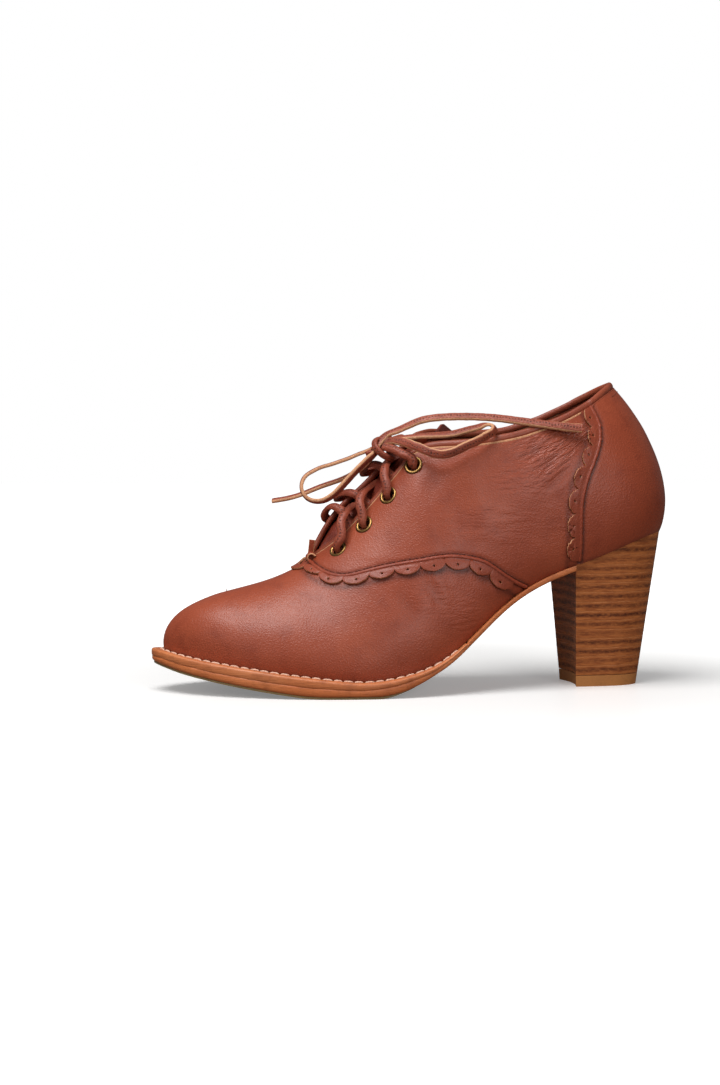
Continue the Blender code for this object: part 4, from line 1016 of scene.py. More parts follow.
def fanMarks(points):  # how strongly the fan shows, and its own across and along coordinates
    fan = wrinkleFan
    across = points[..., 0] - fan["apex"][0]
    rise = points[..., 2] - fan["apex"][1]
    reach = np.hypot(across, rise)
    middle, spread = np.radians(fan["towards"])
    off = (np.arctan2(rise, across) - middle + np.pi) % (2 * np.pi) - np.pi
    cover = softStep(*fan["near"], reach) * (1 - softStep(*fan["far"], reach))
    cover = cover * (1 - softStep(0.35, 1.0, np.abs(off) / spread))
    sideways = off * fan["even"] * (np.maximum(reach, 4) / fan["even"])**fan["spread"] / fan["pitch"]
    return fan["strength"] * cover, sideways, reach / fan["long"]


def levelMarks(points):
    shown = np.zeros(points.shape[:-1])
    folds = np.zeros(points.shape[:-1])
    for patch in levelWrinkles:
        run = (points[..., 0] - patch["middle"][0]) / patch["half"][0]
        over = (points[..., 2] - patch["middle"][1]) / patch["half"][1]
        cover = 1 - softStep(0.2, 1.0, np.hypot(run, over))
        shown = np.maximum(shown, patch["strength"] * cover)
        folds = np.maximum(folds, patch["fold"] * cover)
    return shown, folds


def creaseDepth(points, crease):
    knots = np.array(crease["line"])
    length = lengthAlong(knots)
    fine = smoothCurve(length, knots, np.linspace(0, length[-1], 24))
    flat = points[..., (0, 2)]
    away = np.full(flat.shape[:-1], 1e9)
    part = np.zeros(flat.shape[:-1])
    for i, spot in enumerate(fine):
        gap = np.hypot(flat[..., 0] - spot[0], flat[..., 1] - spot[1])
        part = np.where(gap < away, i / (len(fine) - 1), part)
        away = np.minimum(away, gap)
    ends = np.sin(np.pi * np.clip(part, 0.02, 0.98))
    t = away / crease["width"]
    return crease["depth"] * ends * (0.45 * np.exp(-((t - 1.5) / 0.7)**2) - np.exp(-t**2))


def nearestAlong(points, line):  # distance of each point to a line of points
    flat = points.reshape(-1, 3)
    away = np.full(len(flat), 1e9)
    for chunk in np.array_split(line, max(1, len(line) // 40)):
        gap = np.linalg.norm(flat[:, None] - chunk[None], axis=2).min(axis=1)
        away = np.minimum(away, gap)
    return away.reshape(points.shape[:-1])


def skinShares(side, girth, rows):  # shares up each rib, ending where the outer leather is cut
    ribs = lastPoints(side, girth, np.linspace(0, 1, 30))
    ribLength = np.linalg.norm(np.diff(ribs, axis=1), axis=2).sum(axis=1)
    drop = np.where(girth < throatGirth - 0.01, tableValue(upperSet["edgeDrop"], girth), 0.0)
    return np.linspace(0, 1, rows)[None, :] * (1 - drop / ribLength)[:, None]


def eased(points, girth, share):  # takes out the bend in the vamp where the throat ends
    near = np.exp(-((girth - throatGirth) / upperSet["easeReach"])**2)[:, None]
    weight = (near * softStep(0.0, 0.25, share) * (1 - softStep(0.86, 0.985, share)))[..., None]
    for _ in range(upperSet["easeTimes"]):
        soft = points.copy()
        soft[1:-1] = (points[:-2] + 2 * points[1:-1] + points[2:]) / 4
        points = points + (soft - points) * weight
    return points


def nearLine(distance, offset, width):  # a soft mark along a line, at an offset from it
    return np.exp(-((distance - offset) / width)**2)


def besideSeams(side, girth, share, points):  # distance to both seams, and which side of them a point lies
    lines = [evenRoute(seamRoute(side, seam), 0.7) for seam in (quarterSeam, counterSeam)]
    toQuarter, toCounter = [nearestAlong(points, line) for line in lines]
    front, back = quarterSeam[0][0], quarterSeam[-1][0]
    girths, shares = np.array(quarterSeam).T
    seamShares = steadyCurve(-girths, shares, np.clip(-girth, -front, -back))
    above = (share > seamShares) & (girth < front)[:, None] | (girth < back)[:, None]
    girths, shares = np.array(counterSeam[::-1]).T
    behind = girth[:, None] < np.interp(share, shares, girths)
    return toQuarter, toCounter, above, behind


def skinFolds(side, points, fan, across, along):
    s = foldSet
    level, levelFold = levelMarks(points)
    broad = np.stack([across * s["across"], along * s["along"], np.zeros_like(fan)], axis=-1)
    folds = fan * wrinkleFan["fold"] * speckle(broad, 1.0, 4.0) * s["gain"]
    folds += levelFold * speckle(points * np.array(s["levelStretch"]), 1.0, 7.0) * s["gain"]
    for crease in softCreases:
        folds += creaseDepth(points, crease) * (1.0 if side < 0 else s["medial"])
    return level, folds


def skinSide(side, girth):  # one side of the skin: points, outward directions and marks
    s, paintedShadeAndRubWeights = upperSet, paintedShadeAndRubSet
    share = skinShares(side, girth, s["rows"])
    points = eased(lastPoints(side, girth, share), girth, share)
    out = outwardOf(side, points)
    toQuarter, toCounter, above, behind = besideSeams(side, girth, share, points)
    stepUp = softStep(-s["stepHalf"], s["stepHalf"], np.where(above, toQuarter, -toQuarter))
    stepBack = softStep(-s["stepHalf"], s["stepHalf"], np.where(behind, toCounter, -toCounter))
    groove = nearLine(toQuarter, *s["grooveLine"]) + nearLine(toCounter, *s["grooveLine"])
    lift = s["step"] * (stepUp + stepBack) - s["groove"] * np.clip(groove, 0, 1)
    fan, fanAcross, fanAlong = fanMarks(points)
    level, folds = skinFolds(side, points, fan, fanAcross, fanAlong)
    stiff = softStep(1.0, 5.0, toQuarter) * softStep(0.5, 4.0, toCounter) * np.where(behind, 0.05, 1.0)
    folds *= stiff * (1 - softStep(150, 190, points[..., 0]) * 0.6) * (1 - softStep(0.94, 0.99, share))
    swell = sum(speckle(points, size, seed) * height for size, seed, height in s["swells"])
    lift = lift + folds + swell * softStep(0.0, 0.08, share) * (1 - softStep(0.9, 1.0, share))
    # Painted shade: dark beside the scalloped strips, along both seams, low on the skin by the foot line and
    # in the fold troughs; rub lightens the fold crests.
    around = nearLine(toQuarter, *paintedShadeAndRubWeights["vampStrip"]) * ~above
    around = around + nearLine(toCounter, *paintedShadeAndRubWeights["counterStrip"]) * ~behind
    seams = nearLine(toQuarter, *paintedShadeAndRubWeights["seamLine"]) + nearLine(toCounter, *paintedShadeAndRubWeights["seamLine"])
    shade = paintedShadeAndRubWeights["seam"] * seams + paintedShadeAndRubWeights["strip"] * around
    shade += paintedShadeAndRubWeights["foot"] * (1 - softStep(0.0, paintedShadeAndRubWeights["footReach"], share))
    shade += np.clip(-folds, 0, 1) * paintedShadeAndRubWeights["fold"]
    marks = {
        "shade": np.clip(shade, 0, 1), "rub": np.clip(folds, 0, 1) * paintedShadeAndRubWeights["rub"], "fan": fan * stiff,
        "fanAcross": fanAcross, "fanAlong": fanAlong, "flat": level * stiff,
    }
    return points, out, lift, marks


def outwardOf(side, points):
    return unit(np.cross(np.gradient(points, axis=0), np.gradient(points, axis=1)) * -side)


def shareEnds(girth, lateral, medial, turned):  # both sides share their heel, toe and ridge lines
    for spot in ((0, slice(None)), (-1, slice(None)), (girth >= throatGirth, -1)):
        mean = (lateral[spot] + medial[spot]) / (1 if turned else 2)
        lateral[spot] = medial[spot] = unit(mean) if turned else mean


def bothSides(points, inward=False):  # faces of the lateral and the medial grid
    one = gridFaces(*points.shape[1:3])[:, ::-1 if inward else 1]
    return np.vstack([one, one[:, ::-1] + points.shape[1] * points.shape[2]])


def makeUpper():
    girth = np.linspace(0, toeGirth, upperSet["columns"])
    lateral = skinSide(-1, girth)
    medial = skinSide(1, girth)
    shareEnds(girth, lateral[1], medial[1], True)
    shareEnds(girth, lateral[2], medial[2], False)
    points = np.stack([s[0] + s[1] * s[2][..., None] for s in (lateral, medial)])
    marks = {key: np.stack([lateral[3][key], medial[3][key]]) for key in lateral[3]}
    faces = punched(points.reshape(-1, 3), bothSides(points), upperSet["holeRadius"])
    skin = meshPiece(
        "upper_skin", points, faces, [looks["upper"]], "upper_leather", ["upper"], weld=upperSet["weld"],
        marks=marks,
    )
    facingOut(skin)
    print("upper skin made", len(skin.data.polygons))
    return skin


def punched(points, faces, radius):  # leaves out the faces under each eyelet
    centre = points[faces].mean(axis=1)
    keep = np.ones(len(faces), bool)
    for side in (-1, 1):
        for girth, share in eyeletPlaces:
            seat, way = surfaceFrame(side, girth, share)
            gap = centre - seat
            depth = gap @ way
            keep &= (np.linalg.norm(gap - depth[:, None] * way, axis=1) > radius) | (np.abs(depth) > 5)
    return faces[keep]


liningSet = {"columns": 150, "rows": 48, "foot": 0.015, "holeRadius": 2.2}


def makeLining():
    s = liningSet
    girth = np.linspace(0, toeGirth, s["columns"])
    walls, ways = [], []
    for side in (-1, 1):
        share = skinShares(side, girth, s["rows"]) * (1 - s["foot"]) + s["foot"]
        walls.append(lastPoints(side, girth, share))
        ways.append(outwardOf(side, walls[-1]))
    shareEnds(girth, *ways, True)
    points = np.stack([wall - way * upperSet["wall"] for wall, way in zip(walls, ways)])
    faces = punched(points.reshape(-1, 3), bothSides(points, inward=True), s["holeRadius"])
    meshPiece("lining_skin", points, faces, [looks["lining"]], "insole_leather", weld=upperSet["weld"])
    print("lining made")


class Surface:  # the finished skin, for what is laid on it
    def __init__(self, piece):
        bm = bmesh.new()
        bm.from_mesh(piece.data)
        self.tree = BVHTree.FromBMesh(bm)
        bm.free()

    def seat(self, points):
        seats, ways = [], []
        for point in place(points).reshape(-1, 3):
            spot, way, _, _ = self.tree.find_nearest(Vector(point))
            seats.append(unplace(spot))
            ways.append((-way.x, way.y, way.z))
        shape = np.asarray(points).shape
        return np.array(seats).reshape(shape), np.array(ways).reshape(shape)


def blurred(ways, times=1):
    for _ in range(times):
        padded = np.concatenate([ways[:1], ways, ways[-1:]])
        ways = unit(padded[:-2] + 2 * padded[1:-1] + padded[2:])
    return ways


# Collar and facing: the cut edge of the outer leather and the lining's bead above it

collarSet = {
    "beadRise": 1.7, "beadIn": 1.3, "beadWide": 1.3, "beadTall": 1.95,
    "rawFrom": 47.0, "stitchTo": 31.0, "stitchBelow": 2.6,
    "profile": (  # of the cut edge: outwards, upwards
        (0.06, -0.9), (0.14, -0.25), (0.12, 0.05), (0.0, 0.26), (-0.3, 0.32), (-0.8, 0.25), (-1.0, 0.0),
        (-1.0, -0.9),
    ),
}


def collarLine():  # the outer leather's cut edge, lateral throat to heel to medial throat
    girth = np.linspace(throatGirth - 1.2, 0, 230)
    rows = []
    for side, order in ((-1, girth), (1, girth[::-1][1:])):
        end = skinShares(side, order, 2)[:, 1]
        grid = lastPoints(side, order, np.column_stack([end - 0.012, end]))
        step = lastPoints(side, order + 0.4, np.column_stack([end - 0.012, end]))[:, 1] - grid[:, 1]
        up = unit(unit(grid[:, 1] - grid[:, 0]) + np.array([0.0, 0.0, 0.8]))
        out = unit(np.cross(step, up) * -side)
        layers = 2 - softStep(*upperSet["counterTop"], order)
        rows.append((grid[:, 1] + out * (upperSet["step"] * layers)[:, None], up, out))
    return [np.vstack(pair) for pair in zip(*rows)]


def sweepOval(centres, up, out, wide, tall, sides=12):
    turn = np.linspace(0, 2 * np.pi, sides, endpoint=False)
    loops = centres[:, None] + out[:, None] * (np.cos(turn) * wide)[None, :, None]
    return loops + up[:, None] * (np.sin(turn) * tall)[None, :, None]


def makeCollar(surface):
    line, up, out = collarLine()
    up = blurred(up, 8)
    out = blurred(out, 8)
    s = collarSet
    reach, rise = np.array(s["profile"]).T
    rough = 1 + 0.12 * speckle(line, 2.0, 3.0)
    upwards = up[:, None] * (rise[None, :] * rough[:, None])[..., None]
    loops = line[:, None] + out[:, None] * reach[None, :, None] + upwards
    raw = line[:, 0] > s["rawFrom"]
    half = len(line) // 2
    runs = [loops[:half][raw[:half]], loops[half:][raw[half:]]]
    meshPiece("collar_cut_edge", *joinMeshes([rings(run) for run in runs]), [looks["raw"]], "trim_leather")
    folded = line[:, 0] < s["rawFrom"] + 1.0
    meshPiece("counter_folded_edge", *rings(loops[folded]), [looks["bead"]], "trim_leather")
    ends = np.sin(np.pi * np.clip(np.linspace(0, 1, len(line)), 0.004, 0.996))**0.15
    centres = line + up * (s["beadRise"] * ends)[:, None] - out * s["beadIn"]
    wave = 1 + 0.05 * speckle(line, 7.0, 9.0)
    loops = sweepOval(centres, up * wave[:, None], out * wave[:, None], s["beadWide"], s["beadTall"], 14)
    meshPiece("collar_bead", *rings(loops), [looks["bead"]], "trim_leather")
    sewn = line[:, 0] < s["stitchTo"]
    seats, ways = surface.seat(line[sewn] - up[sewn] * s["stitchBelow"])
    stitches = stitchesAlong(seats, unit(np.gradient(seats, axis=0)), ways, 1.0, 0.05)
    meshPiece("counter_top_stitches", *stitches, [looks["thread"]], "trim_leather")
    print("collar edge and bead made")


# Raised seams, scalloped strips and their stitches

seamSet = {
    "radius": 0.95, "lift": 0.35, "step": 0.8, "stitchOff": 1.55, "stitchPitch": 1.9, "stitchLong": 1.25,
    "stitchThick": 0.2,
}
scallopSet = {
    "vamp": {"count": 19, "foot": (2.0, 3.6), "tip": (4.7, 7.3)},
    "counter": {"count": 7, "foot": (3.2, 3.2), "tip": (6.6, 7.4)},
    "start": 0.6, "thick": 0.9, "lift": 0.32, "bevel": 0.16, "curl": 0.55, "curlFrom": 2.5, "curlOver": 4.0,
    "hole": 0.62, "smallHole": 0.75, "holeAt": 0.56, "archPower": 0.62, "arch": 20, "sideSteps": 3,
    "baseSteps": 8, "ringCount": 5,
}


def seamPipes(surface):
    for side, word in ((-1, "lateral"), (1, "medial")):
        for name, seam in (("quarter_piping", quarterSeam), ("counter_piping", counterSeam)):
            seats, ways = surface.seat(evenRoute(seamRoute(side, seam), seamSet["step"]))
            ways = blurred(ways, 4)
            centres = seats + ways * seamSet["lift"]
            tangent = unit(np.gradient(centres, axis=0))
            beside = unit(np.cross(tangent, ways))
            pinch = (1 + 0.06 * speckle(centres, 3.0, 2.0))[:, None]
            loops = sweepOval(centres, ways * pinch, beside * pinch, seamSet["radius"], seamSet["radius"])
            label = f"{name}_{word}"
            meshPiece(label + "_welted", *rings(loops), [looks["piping"]], "trim_leather", [label])
            rowOfStitches(surface, label + "_stitches", seats, ways, name == "quarter_piping", side)
    print("pipings sewn")


stitchShape = (  # share of the length, size, height
    (-0.5, 0.25, -0.35), (-0.42, 0.75, -0.1), (-0.2, 1.0, 0.15), (0.2, 1.0, 0.15), (0.42, 0.75, -0.1),
    (0.5, 0.25, -0.35),
)


def capsule(centre, along, up, long, thick):  # one stitch, sunk a little at both ends
    side = np.cross(along, up)
    turn = np.linspace(0, 2 * np.pi, 7, endpoint=False)[:, None]
    rows = []
    for share, size, dip in stitchShape:
        middle = centre + along * (share * long) + up * (dip * thick)
        rows.append(middle + (side * np.cos(turn) + up * np.sin(turn) * 0.85) * size * thick)
    return rings(np.array(rows))


def stitchesAlong(line, tangent, out, ends, rise):  # a seam's stitches, starting a little in from its ends
    walked = lengthAlong(line)
    long, thick = seamSet["stitchLong"], seamSet["stitchThick"]
    parts = []
    for spot in np.arange(ends, walked[-1] - ends, seamSet["stitchPitch"]):
        i = int(np.searchsorted(walked, spot))
        parts.append(capsule(line[i] + out[i] * rise, tangent[i], out[i], long, thick))
    return joinMeshes(parts)


def rowOfStitches(surface, name, seats, ways, quarter, side):
    tangent = unit(np.gradient(seats, axis=0))
    beside = unit(np.cross(ways, tangent)) * (1 if (side < 0) == quarter else -1)
    line, out = surface.seat(seats - beside * seamSet["stitchOff"])
    stitches = stitchesAlong(line, tangent, blurred(out, 4), 2.0, 0.1)
    meshPiece(name, *stitches, [looks["thread"]], "trim_leather")


def scallopCell(s):  # one scallop's outline, foot line at 0 and tip at 1; scallopStrip lays the rings from its punched hole out to it
    side = np.linspace(0, 1, s["sideSteps"], endpoint=False)
    base = np.linspace(1, 0, s["baseSteps"], endpoint=False)
    arch = np.linspace(0, 1, s["arch"], endpoint=False)
    outer = [(0.0, "side", v) for v in side] + [(v, "arch", v) for v in arch]
    outer += [(1.0, "side", 1 - v) for v in side] + [(v, "base", 0.0) for v in base]
    return outer


def scallopStrip(surface, name, route, kind, flip, stands):
    s, own = scallopSet, scallopSet[kind]
    line = evenRoute(route, 0.5)
    seats, ways = surface.seat(line)
    ways = blurred(ways, 6)
    along = unit(np.gradient(seats, axis=0))
    beside = unit(np.cross(ways, along)) * (-1 if flip else 1)
    walked = lengthAlong(seats)
    total = walked[-1]
    pitch = total / own["count"]
    flat, faces = [], []
    outline = scallopCell(s)
    size = len(outline)
    for number in range(own["count"]):
        share = (number + 0.5) / own["count"]
        mix = 1 - abs(2 * share - 1) if kind == "vamp" else 1 - share
        low = own["foot"][0] * mix + own["foot"][1] * (1 - mix)
        high = own["tip"][0] * mix + own["tip"][1] * (1 - mix)
        begin = number * pitch
        rim = []
        for across, part, value in outline:
            reach = {"side": s["start"] + (low - s["start"]) * value, "base": s["start"],
                     "arch": low + (high - low) * max(0.0, math.sin(math.pi * value))**s["archPower"]}[part]
            rim.append((begin + across * pitch, reach))
        rim = np.array(rim)
        middle = np.array([begin + pitch / 2, s["start"] + s["holeAt"] * (high - s["start"])])
        ray = unit(rim - middle)
        radius = s["hole"] * (s["smallHole"] if kind == "vamp" and mix > 0.8 else 1.0)
        shift = len(flat)
        for ring in np.linspace(0, 1, s["ringCount"]):
            flat.extend((middle + ray * radius) * (1 - ring) + rim * ring)
        for ring in range(s["ringCount"] - 1):
            for k in range(size):
                a = shift + ring * size + k
                b = shift + ring * size + (k + 1) % size
                faces.append([a, b, b + size, a + size])
    flat = np.array(flat)
    at = np.clip(flat[:, 0], 0, total)
    base = np.column_stack([np.interp(at, walked, seats[:, i]) for i in range(3)])
    sideways = unit(np.column_stack([np.interp(at, walked, beside[:, i]) for i in range(3)]))
    spots, out = surface.seat(base + sideways * flat[:, 1:2])
    outSmooth = unit(out + 2 * np.column_stack([np.interp(at, walked, ways[:, i]) for i in range(3)]))
    edge = np.clip((flat[:, 1] - s["curlFrom"]) / s["curlOver"], 0, 1)
    lift = s["lift"] + s["curl"] * edge**1.5 * (0.7 + 0.5 * np.sin(flat[:, 0] * 0.37))
    bottom = spots + outSmooth * lift[:, None]
    piece = meshPiece(
        name, bottom, faces, [looks["trim"], looks["raw"]], "trim_leather", stands, weld=0.02, closed=False,
    )
    mesh = piece.data
    toward = sum(f.normal.dot(Vector((-o[0], o[1], o[2]))) for f, o in zip(mesh.polygons[:40], out[:40]))
    if toward < 0:
        mesh.flip_normals()
    thick = piece.modifiers.new("thick", "SOLIDIFY")
    thick.thickness = s["thick"] * mm
    thick.offset = 1
    thick.use_rim = True
    thick.material_offset_rim = 1
    soften(piece, s["bevel"], 2, 50)


def makeTrims(surface):
    lateral = seamRoute(-1, quarterSeam[1:-1])
    medial = seamRoute(1, quarterSeam[1:-1])
    route = np.vstack([lateral[::-1], [(183.2, 3.4, 60.8)], medial])
    scallopStrip(surface, "vamp_scallops", route, "vamp", True, ["vamp_scallop_trim"])
    for side, word in ((-1, "lateral"), (1, "medial")):
        name = f"counter_scallops_{word}"
        stands = [f"counter_scallop_trim_{word}"]
        scallopStrip(surface, name, seamRoute(side, counterSeam), "counter", side > 0, stands)
    print("scalloped strips laid")


# Eyelets

eyeletSet = {
    "segments": 44, "lift": 0.3,
    "profile": (
        (4.6, 0.0), (4.62, 0.2), (4.4, 0.48), (3.9, 0.62), (3.4, 0.56), (3.0, 0.3), (2.75, -0.1),
        (2.66, -0.8), (2.66, -3.6), (2.84, -3.6), (2.9, -0.6), (3.2, -0.1),
    ),
}


def makeEyelets():
    profile = np.array(eyeletSet["profile"])
    turn = np.linspace(0, 2 * np.pi, eyeletSet["segments"], endpoint=False)
    bright = np.clip((profile[:, 1] - 0.3) / 0.3, 0, 1)
    for side, word in ((-1, "lateral"), (1, "medial")):
        for number, (girth, share) in enumerate(eyeletPlaces, 1):
            seat, way = surfaceFrame(side, girth, share)
            first = unit(np.cross(way, (0.0, 0.0, 1.0)))
            second = np.cross(way, first)
            spoke = first * np.cos(turn)[:, None] + second * np.sin(turn)[:, None]
            loops = seat + spoke[:, None] * profile[None, :, :1] + way * (profile[:, 1:] + eyeletSet["lift"])
            faces = gridFaces(len(turn), len(profile), True, True)
            meshPiece(f"eyelet_{word}_{number}_ring", loops, faces, [looks["brass"]], "eyelet_brass",
                      [f"eyelet_{word}_{number}"], marks={"rub": np.tile(bright, len(turn))})
    print("eyelets set")


# Tongue

tongueSet = {
    "wall": 1.6, "gap": 0.6, "shares": (0.84, 0.92, 1.0), "lift": (0.55, 0.0, 0.83), "rows": 90,
    "columns": 28,
    "girths": (183.5, 176.0, 168.0, 160.0, 152.0, 144.0, 136.0, 129.0),
    "top": (
        (121.0, 0.6, 120.6, 12.0, 2.2, 0.3), (112.3, 1.8, 125.2, 9.4, 0.4, 0.72),
        (112.9, 2.2, 129.9, 0.5, 0.0, 0.72),
    ),
}


def tongueRow(girth):
    sides = []
    for side in (-1, 1):
        frames = [surfaceFrame(side, girth, min(share, 0.989)) for share in tongueSet["shares"]]
        points = lastPoints(side, [girth], tongueSet["shares"])[0]
        sides.append(points - np.array([way for _, way in frames]) * (upperSet["wall"] + tongueSet["gap"]))
    lateral, medial = sides
    middle = (lateral[-1] + medial[-1]) / 2 + np.array(tongueSet["lift"])
    return np.vstack([lateral, middle, medial[::-1]])


def makeTongue():
    rows = [tongueRow(girth) for girth in tongueSet["girths"]]
    spread = np.linspace(-1, 1, 2 * len(tongueSet["shares"]) + 1)
    for station, side, height, half, fall, skew in tongueSet["top"]:
        reach = half * spread
        rows.append(np.column_stack([station - skew * reach, side + reach, height - fall * spread**2]))
    rows = np.array(rows)
    flow = np.arange(len(rows), dtype=float)
    flowFine = np.linspace(0, flow[-1], tongueSet["rows"])
    fine = np.stack([steadyCurve(flow, column, flowFine) for column in rows.transpose(1, 0, 2)], axis=1)
    over = np.arange(rows.shape[1], dtype=float)
    overFine = np.linspace(0, over[-1], tongueSet["columns"])
    grid = np.stack([smoothCurve(over, row, overFine) for row in fine])
    piece = meshPiece("tongue_leather", grid, gridFaces(*grid.shape[:2]), [looks["tongue"]],
                      "upper_leather", ["tongue"], closed=False)
    if sum(face.normal.z for face in piece.data.polygons) < 0:
        piece.data.flip_normals()
    wall = piece.modifiers.new("wall", "SOLIDIFY")
    wall.thickness = tongueSet["wall"] * mm
    wall.offset = -1
    print("tongue made")


# Sole, welt and insole

soleSet = {
    "margin": ((45.0, 0.6), (73.0, 2.0), (96.0, 2.6), (114.0, 3.4), (134.0, 4.6), (160.0, 5.2), (276.0, 5.8)),
    "floor": (
        (128.5, 8.4), (134.0, 5.2), (140.0, 2.7), (146.0, 0.8), (151.0, 0.0), (176.0, 0.0), (184.0, 0.3),
        (195.7, 1.7), (208.0, 3.5), (220.7, 5.6), (233.0, 8.0), (243.0, 10.2), (257.5, 14.6),
    ),
    "waistDepth": ((49.0, 3.0), (104.0, 3.0), (112.0, 3.4), (122.0, 4.0)),
    "rubberStart": 134.0, "weltStart": 108.0, "weltInset": 2.4, "gap": 0.3, "insoleThick": 2.5,
    "weltThick": (
        (108.0, 0.8), (125.0, 1.7), (145.0, 2.7), (165.0, 3.4), (190.0, 4.2), (215.0, 4.2), (245.0, 3.7),
        (260.0, 3.6),
    ),
    "back": 51.4, "wrap": 0.06, "stepRows": (106.5, 107.2),  # rows on both sides of the welt's start
    "rubberEnd": (134.0, 150.0, 0.15, 0.85),
    "edge": (
        (0.0, 1.15), (0.07, 0.6), (0.18, 0.2), (0.34, 0.0), (0.62, 0.0), (0.86, 0.06), (0.95, 0.2),
        (1.0, 0.4),
    ),
    "stitchPitch": 5.0, "stitchLong": 4.3, "stitchThick": 0.55, "stitchReach": 1.15,
}


def footLine():
    girth = np.linspace(0, toeGirth, 400)
    knots, table = sideTable(-1)
    rows = smoothCurve(knots, table, girth)
    return girth, rows[:, 0], rows[:, 2]


footGirth, footStation, footLevel = footLine()


def footHeight(station):
    slope = (footLevel[-1] - footLevel[-60]) / (footStation[-1] - footStation[-60])
    past = np.maximum(np.asarray(station, float) - footStation[-1], 0)
    return np.interp(station, footStation, footLevel) + past * slope


def girthAt(station):
    return float(np.interp(station, footStation, footGirth))


def outline(side, girth, margin):
    knots, table = sideTable(side)
    rows = smoothCurve(knots, table, girth)
    angle = np.radians(rows[:, 3])
    return np.column_stack([rows[:, 0] - np.cos(angle) * margin, rows[:, 1] + side * np.sin(angle) * margin])


def soleMargin(girth):
    return tableValue(soleSet["margin"], girth)


def floorHeight(station):
    return tableValue(soleSet["floor"], station)


def rubberTop(station):  # the rubber thins to nothing towards the waist
    begin, full, thin, gain = soleSet["rubberEnd"]
    return floorHeight(station) + thin + gain * softStep(begin, full, station)


def outsoleBottom(station):
    start = soleSet["rubberStart"]
    join = footHeight(start) - rubberTop(start)[0]
    depth = tableValue(soleSet["waistDepth"] + ((start, float(join)),), station)
    forefoot = rubberTop(station)
    return np.where(np.asarray(station) < start, footHeight(station) - depth, forefoot)


def weltBottom(station):
    return footHeight(station) - soleSet["gap"] - tableValue(soleSet["weltThick"], station)


def outsoleTop(station):
    under = weltBottom(station) + soleSet["wrap"]
    return np.where(
        np.asarray(station) < soleSet["weltStart"] - 1.0, footHeight(station) - soleSet["gap"], under,
    )


def rungs(girth, margin, across):
    lateral = outline(-1, girth, margin)
    medial = outline(1, girth, margin)
    part = np.linspace(0, 1, across)[None, :, None]
    return lateral[:, None] * (1 - part) + medial[:, None] * part


def atHeight(plan, height):
    return np.concatenate([plan, height(plan[..., 0].ravel()).reshape(plan.shape[:2])[..., None]], axis=-1)


def toeSpacing(start, count, end=None):
    t = np.linspace(0, 1, count)
    return start + ((toeGirth - 1.6 if end is None else end) - start) * (1 - (1 - t)**1.35)


def slab(name, layers, look, slot, stands, bevel=0.0):  # closed body through a stack of equal grids
    layers = np.array(layers)
    count, rows, columns = layers.shape[:3]
    size = rows * columns
    faces = gridFaces(rows, columns).tolist()
    faces += (gridFaces(rows, columns)[:, ::-1] + (count - 1) * size).tolist()
    rim = [i * columns for i in range(rows)] + [(rows - 1) * columns + j for j in range(1, columns)]
    rim += [i * columns + columns - 1 for i in range(rows - 2, -1, -1)] + list(range(columns - 2, 0, -1))
    for base in range(0, (count - 1) * size, size):
        for first, second in zip(rim, rim[1:] + rim[:1]):
            faces.append([base + first, base + second, base + size + second, base + size + first])
    used = np.unique(np.array(faces))
    renumber = np.full(count * size, -1)
    renumber[used] = np.arange(len(used))
    points = layers.reshape(-1, 3)[used]
    piece = meshPiece(name, points, renumber[np.array(faces)], [looks[look]], slot, stands, weld=0.01)
    if bevel:
        soften(piece, bevel, 3, 45)


def soften(piece, width, segments, angle):  # rounds the sharp edges
    soft = piece.modifiers.new("soft", "BEVEL")
    soft.width = width * mm
    soft.segments = segments
    soft.limit_method = "ANGLE"
    soft.angle_limit = math.radians(angle)


def makeSole():
    extra = [girthAt(station) for station in soleSet["stepRows"]]
    girth = np.sort(np.append(toeSpacing(girthAt(soleSet["back"]), 150), extra))
    margin = soleMargin(girth) * (1 + 0.012 * np.sin(girth * 0.31) + 0.008 * np.sin(girth * 0.83))
    taper = 0.35 + 0.65 * softStep(100, 150, np.interp(girth, footGirth, footStation))
    layers = []
    for share, inset in soleSet["edge"]:
        plan = rungs(girth, margin - inset * taper, 18)
        lower, upper = atHeight(plan, outsoleBottom), atHeight(plan, outsoleTop)
        layers.append(lower * (1 - share) + upper * share)
    slab("outsole_leather", layers, "soleEdge", "sole_leather", ["outsole"])
    girth = toeSpacing(girthAt(soleSet["rubberStart"] + 0.4), 110)
    plan = rungs(girth, soleMargin(girth) - 0.9, 18)
    sheet = [atHeight(plan, floorHeight), atHeight(plan, rubberTop)]
    slab("forefoot_rubber_sheet", sheet, "soleRubber", "sole_rubber", ["forefoot_rubber"], 0.12)
    makeWelt()
    makeInsole()
    print("sole, welt and insole made")


